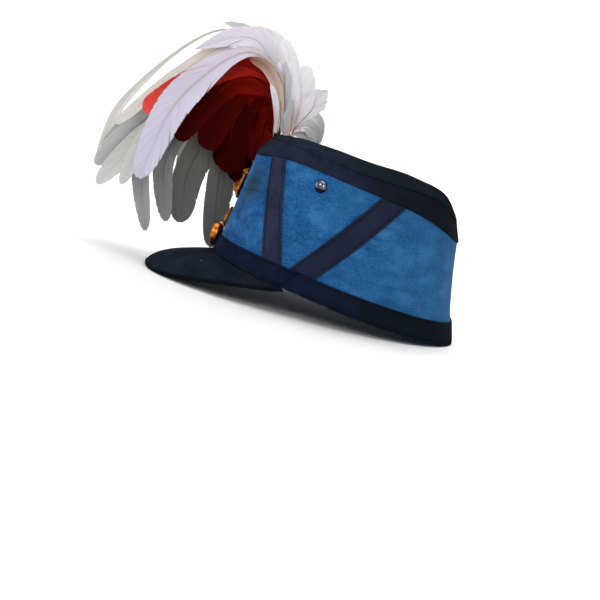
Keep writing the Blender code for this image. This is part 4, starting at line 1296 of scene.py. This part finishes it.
def sleeve(finish):
    """Cloth sleeve with a rolled mouth, open at the top."""
    low, high = socket_ends()
    along = (high - low).normalized()
    across = along.orthogonal().normalized()
    other = along.cross(across)
    length = (high - low).length / MM
    rows = [(SOCKET_RADIUS - 1.0, 0.0), (SOCKET_RADIUS - 0.2, 0.4), (SOCKET_RADIUS, 1.2)]
    rows += [(SOCKET_RADIUS - 0.25, length * share) for share in (0.15, 0.3, 0.5, 0.7, 0.85)]
    rows += [(SOCKET_RADIUS, length - 1.6), (SOCKET_RADIUS, length - 0.6), (SOCKET_RADIUS - 0.5, length),
             (SOCKET_BORE + 0.2, length - 0.1), (SOCKET_BORE, length - 0.8), (SOCKET_BORE, SOCKET_FLOOR)]
    rings = [ring_round(low + along * height * MM, across, other, radius, 40) for radius, height in rows]
    stand_up(skin("plume_sleeve", rings), finish, "socket_cloth", "plume_socket")


def binding(finish):
    """The plume's foot: quills wound with thread, from inside the sleeve to just over the crown's edge."""
    low, high = socket_ends()
    along = (high - low).normalized()
    base = plume_point(0, 0, PLUME_BASE[1])
    stops = [low + along * (SOCKET_FLOOR + GAP) * MM, blend(low, high, 0.5), high + along * MM,
             base, plume_point(-1, FOOT_TOP, PLUME_BASE[1])]
    path = smooth_path(stops, 30)
    radii = ((0.0, SOCKET_BORE - GAP), (0.50, SOCKET_BORE - GAP), (0.72, FOOT_RADIUS - 0.6),
             (0.9, FOOT_RADIUS), (1.0, FOOT_RADIUS - 0.8))
    rings = []
    for i, middle in enumerate(path):
        line = (path[min(i + 1, len(path) - 1)] - path[max(i - 1, 0)]).normalized()
        sideways = line.cross(Vector((0, 1, 0))).normalized()
        radius = smooth_value(radii, i / (len(path) - 1)) - 0.12 * (1 - math.cos(i * math.pi / 2))
        rings.append(ring_round(middle, sideways, line.cross(sideways), radius, 28))
    stand_up(skin("plume_binding", rings), finish, "navy_thread", "plume")


# ---------------------------------------------------------------- feathers

def plume_point(out, up, left):
    lean = math.radians(PLUME_LEAN)
    base_forward, _, base_up = PLUME_BASE
    forward = base_forward + out * math.cos(lean) + up * math.sin(lean)
    return hat_point(forward, left, base_up - out * math.sin(lean) + up * math.cos(lean))


def feather_path(shape, steps=24):
    heading = math.atan2(shape.side - PLUME_BASE[1], shape.path[-2][0])
    start_side = 0.45 * FOOT_RADIUS * math.sin(heading)
    lengths = [0.0]
    for here, there in zip(shape.path, shape.path[1:]):
        lengths.append(lengths[-1] + math.dist(here, there))
    points = []
    for (out, up), length in zip(shape.path, lengths):
        share = length / lengths[-1]
        side = PLUME_BASE[1] + start_side * (1 - share) + (shape.side - PLUME_BASE[1]) * share**SIDE_BOW
        points.append(plume_point(out, up, side))
    return smooth_path(points, steps)


class Shaft:
    """The curve of one feather, read by the share of its length."""

    def __init__(self, shape):
        self.path = feather_path(shape)
        self.lengths = [0.0]
        for here, there in zip(self.path, self.path[1:]):
            self.lengths.append(self.lengths[-1] + (there - here).length)
        self.length = self.lengths[-1]
        self.turn = math.radians(shape.turn)
        self.frames = [self.frame_at(i) for i in range(len(self.path))]

    def frame_at(self, i):
        before, after = self.path[max(0, i - 1)], self.path[min(len(self.path) - 1, i + 1)]
        along = (after - before).normalized()
        in_plane = along.cross(Vector((1, 0, 0))).normalized()
        flat = along.cross(in_plane).normalized()
        across = in_plane * math.cos(self.turn) + flat * math.sin(self.turn)
        return along, across, along.cross(across).normalized()

    def at(self, share):
        """Point, along, across and normal."""
        goal = share * self.length
        low = min(bisect_right(self.lengths, goal), len(self.lengths) - 1) - 1
        t = (goal - self.lengths[low]) / (self.lengths[low + 1] - self.lengths[low])
        point = blend(self.path[low], self.path[low + 1], t)
        return (point, *(blend(a, b, t) for a, b in zip(self.frames[low], self.frames[low + 1])))


def lock_sizes(count, smallest, largest, dice):
    """Splits a row of barbs into locks of a few barbs each."""
    sizes = []
    while sum(sizes) < count:
        left = count - sum(sizes)
        size = min(left, dice.randint(smallest, largest))
        sizes.append(left if left - size < smallest else size)
    return sizes


def red_height_shade(height):
    """Painted light and shade on the darker reds: darker low in the plume, between the other feathers, and
    lighter high up.
    """
    low, high = RED_SHADE_HEIGHTS
    return blend(*RED_SHADE_SHARES, min(1.0, max(0.0, (height / MM - low) / (high - low))))


def vane_side(shaft, shape, side, dice, mesh_data):
    """One side of the vane: barbs in wide locks with thin splits, and a fine saw edge."""
    vertices, faces, coordinates, tints = mesh_data
    ragged = shape.ragged if side < 0 else shape.ragged * 0.3
    outline = OUTLINES[shape.form]
    root_tint, middle_tint, tip_tint = (Vector(tint) for tint in TINTS[shape.tint])
    pitch = FINE_BARB_PITCH if shape.ragged > 0.5 else BARB_PITCH
    start = outline[0][0]
    count = int((1 - start) * shaft.length / (pitch * MM))
    half = shape.width / 2 * (1 + side * shape.bias)
    lead = BARB_LEAD * half * MM / shaft.length
    phase = dice.uniform(0, 50)
    rows = len(BARB_STEPS)
    number = 0
    open_from = rows          # first step where this barb parts from the one before
    for wide in lock_sizes(count, *WIDE_LOCK, dice):
        wide_middle = number + (wide - 1) / 2
        lift = dice.uniform(-1, 1) * (0.01 + 0.03 * ragged)
        split = dice.uniform(0.0, 0.05) * (0.1 + ragged)
        shade = dice.uniform(0.96, 1.03)
        for fine in lock_sizes(wide, *FINE_LOCK, dice):
            fine_middle = number + (fine - 1) / 2
            saw = dice.uniform(0.1, 0.5) * (0.05 + ragged)
            reach_share = 1 - dice.uniform(0, 0.05) * (0.05 + ragged)
            for barb in range(number, number + fine):
                root, wide_root, fine_root = (
                    blend(start, LAST_BARB, spot / (count - 1)) for spot in (barb, wide_middle, fine_middle))
                room = min(lead, (1.0 - root) * 0.85 + 0.003)
                full = smooth_value(outline, min(1.0, root + room)) * half
                if root < TINT_MIDDLE:
                    tint = blend(root_tint, middle_tint, root / TINT_MIDDLE)
                else:
                    tint = blend(middle_tint, tip_tint, (root - TINT_MIDDLE) / (1 - TINT_MIDDLE))
                first = len(vertices)
                for v in BARB_STEPS:
                    drawn = root + (wide_root - root) * split * v**3 + (fine_root - root) * saw * v**10
                    place = min(1.0, drawn + room * v)
                    reach = full * blend(1, reach_share, v**4) * v**0.94
                    point, _, across, normal = shaft.at(place)
                    rise = (-0.10 * reach * v + lift * half * v**3
                            + 0.03 * half * v * math.sin(place * 15 + phase))
                    vertices.append(point + (across * reach * side + normal * rise) * MM)
                    coordinates.append((root * shaft.length, side * v * half * MM))
                    # painted light and shade by height on the darker reds
                    deep = red_height_shade(vertices[-1].z) if shape.tint in HEIGHT_SHADED_REDS else 1.0
                    tints.append((*(tint * (0.96 + 0.06 * v) * blend(1, shade, v) * deep), 1.0))
                if barb > 0:
                    for a in range(first - rows, first - rows + min(rows - 1, open_from)):
                        quad = (a, a + rows, a + rows + 1, a + 1)
                        faces.append(quad if side > 0 else quad[::-1])
                open_from = rows
            number += fine
            open_from = rows - 2 if dice.random() < 0.4 + 0.5 * ragged else rows
        if dice.random() < ragged:
            open_from = dice.randint(2, rows - 3)


def shaft_tube(shaft, shape, mesh_data, rings=44, steps=8):
    """The tapered shaft, from the bound foot almost to the tip."""
    vertices, faces, coordinates, tints = mesh_data
    thick = 0.50 + 0.010 * shape.width
    low_tint, high_tint = (Vector(tint) for tint in SHAFT_TINTS[shape.shaft])
    high_tint = blend(high_tint, Vector(TINTS[shape.tint][2]), 0.6)
    faces += tube_faces(len(vertices), rings, steps)
    for i in range(rings):
        share = SHAFT_END * i / (rings - 1)
        point, _, across, normal = shaft.at(share)
        radius = thick * (1 - share)**1.2 + 0.12
        vertices += ring_round(point, across, normal, radius, steps)
        coordinates += [(share * shaft.length, 2 * math.pi * k / steps * radius * MM) for k in range(steps)]
        tints += [(*blend(low_tint, high_tint, share**0.6), 1.0)] * steps


def mesh_piece(name, mesh_data):
    vertices, faces, coordinates, tints = mesh_data
    mesh = bpy.data.meshes.new(name)
    mesh.from_pydata(vertices, [], faces)
    layer = mesh.uv_layers.new(name="UVMap")
    for loop in mesh.loops:
        layer.data[loop.index].uv = coordinates[loop.vertex_index]
    colour = mesh.color_attributes.new("tint", "FLOAT_COLOR", "POINT")
    for datum, tint in zip(colour.data, tints):
        datum.color = tint
    mesh.shade_smooth()
    return linked(mesh)


def wisp(tint, thick, path, mesh_data, steps=6):
    """A loose barb, thread or bare quill: a thin tube through points that are out, up and left."""
    vertices, faces, coordinates, tints = mesh_data
    points = smooth_path([plume_point(*place) for place in path], 6)
    faces += tube_faces(len(vertices), len(points), steps)
    for i, middle in enumerate(points):
        along = (points[min(i + 1, len(points) - 1)] - points[max(i - 1, 0)]).normalized()
        sideways = along.orthogonal().normalized()
        radius = thick * (1 - 0.7 * i / len(points))
        vertices += ring_round(middle, sideways, along.cross(sideways), radius, steps)
    coordinates += [(0.0, 0.0)] * steps * len(points)
    tints += [(*tint, 1.0)] * steps * len(points)


def plume(vane_finishes, quill):
    """The vanes piece by piece, then their shafts, the loose threads and the bare quills."""
    shafts, dyed = ([], [], [], []), ([], [], [], [])
    number = 0
    for name, (slot, rows) in PLUME.items():
        vanes = ([], [], [], [])
        for row in rows:
            shape = Feather(*row)
            shaft = Shaft(shape)
            dice = random.Random(FIRST_SEED + number)
            number += 1
            for side in (1, -1):
                vane_side(shaft, shape, side, dice, vanes)
            if shape.shaft != "none":
                shaft_tube(shaft, shape, dyed if shape.shaft == "red" else shafts)
        piece = mesh_piece(name, vanes)
        finish_with(piece, solidify={"thickness": VANE_THICKNESS * MM, "offset": 0.0})
        stand_up(piece, vane_finishes[slot], slot, "plume")
    stand_up(mesh_piece("plume_red_shafts", dyed), vane_finishes["feather_red"], "feather_red", "plume")
    for strand in STRANDS:
        wisp(*strand, shafts)
    stand_up(mesh_piece("plume_quills", shafts), quill, "quill", "plume")


# ---------------------------------------------------------------- building

def dress_hat():
    mottle, weave = mottle_group(), weave_group()
    cloths = {name: cloth_finish(name, mottle, weave, **shades) for name, shades in CLOTHS.items()}
    # heights of the nickel's painted dark reflection on the lower part of the stud
    stud_middle = (STAND @ crown_point(math.radians(STUD_ANGLE), STUD_LEVEL, FELT_INSET)).z
    nickel = metal_finish("nickel", mottle, (0.11, 0.11, 0.15), (0.19, 0.19, 0.25), 0.05,
                          foot=(stud_middle - 1.8 * MM, stud_middle - 0.1 * MM))
    gilt = metal_finish("gilt", mottle, (0.20, 0.055, 0.006), (0.66, 0.22, 0.022), 0.28)
    # a darker copy of the gilt for the crest: painted shade of the plume that hangs over it
    shaded_gilt = metal_finish("shaded_gilt", mottle, (0.10, 0.032, 0.006), (0.38, 0.14, 0.022), 0.32)
    felt_crown(felt_finish(mottle, fibre_group()))
    head_band(cloths["navy_head_cloth"])
    head_band_lap(cloths["navy_head_cloth"])
    top_band(cloths["navy_band_cloth"])
    crown_top(cloths["navy_top_cloth"])
    peak(cloths["navy_peak_cloth"])
    peak_binding(cloths["navy_peak_roll"])
    for side_name, side in SIDES:
        for shape in RIBBONS:
            ribbon(side_name, side, shape, cloths["navy_ribbon"])
        stud(side_name, side, nickel)
    stitches(cloths["navy_thread"])
    crest(shaded_gilt)
    boss(gilt)
    button(gilt)
    sleeve(cloths["socket_cloth"])
    binding(cloths["navy_thread"])
    plume({"feather_white": feather_finish("white_feather", 0.15),
           "feather_red": feather_finish("red_feather", 0.02)}, quill_finish())


camera_and_studio()
dress_hat()
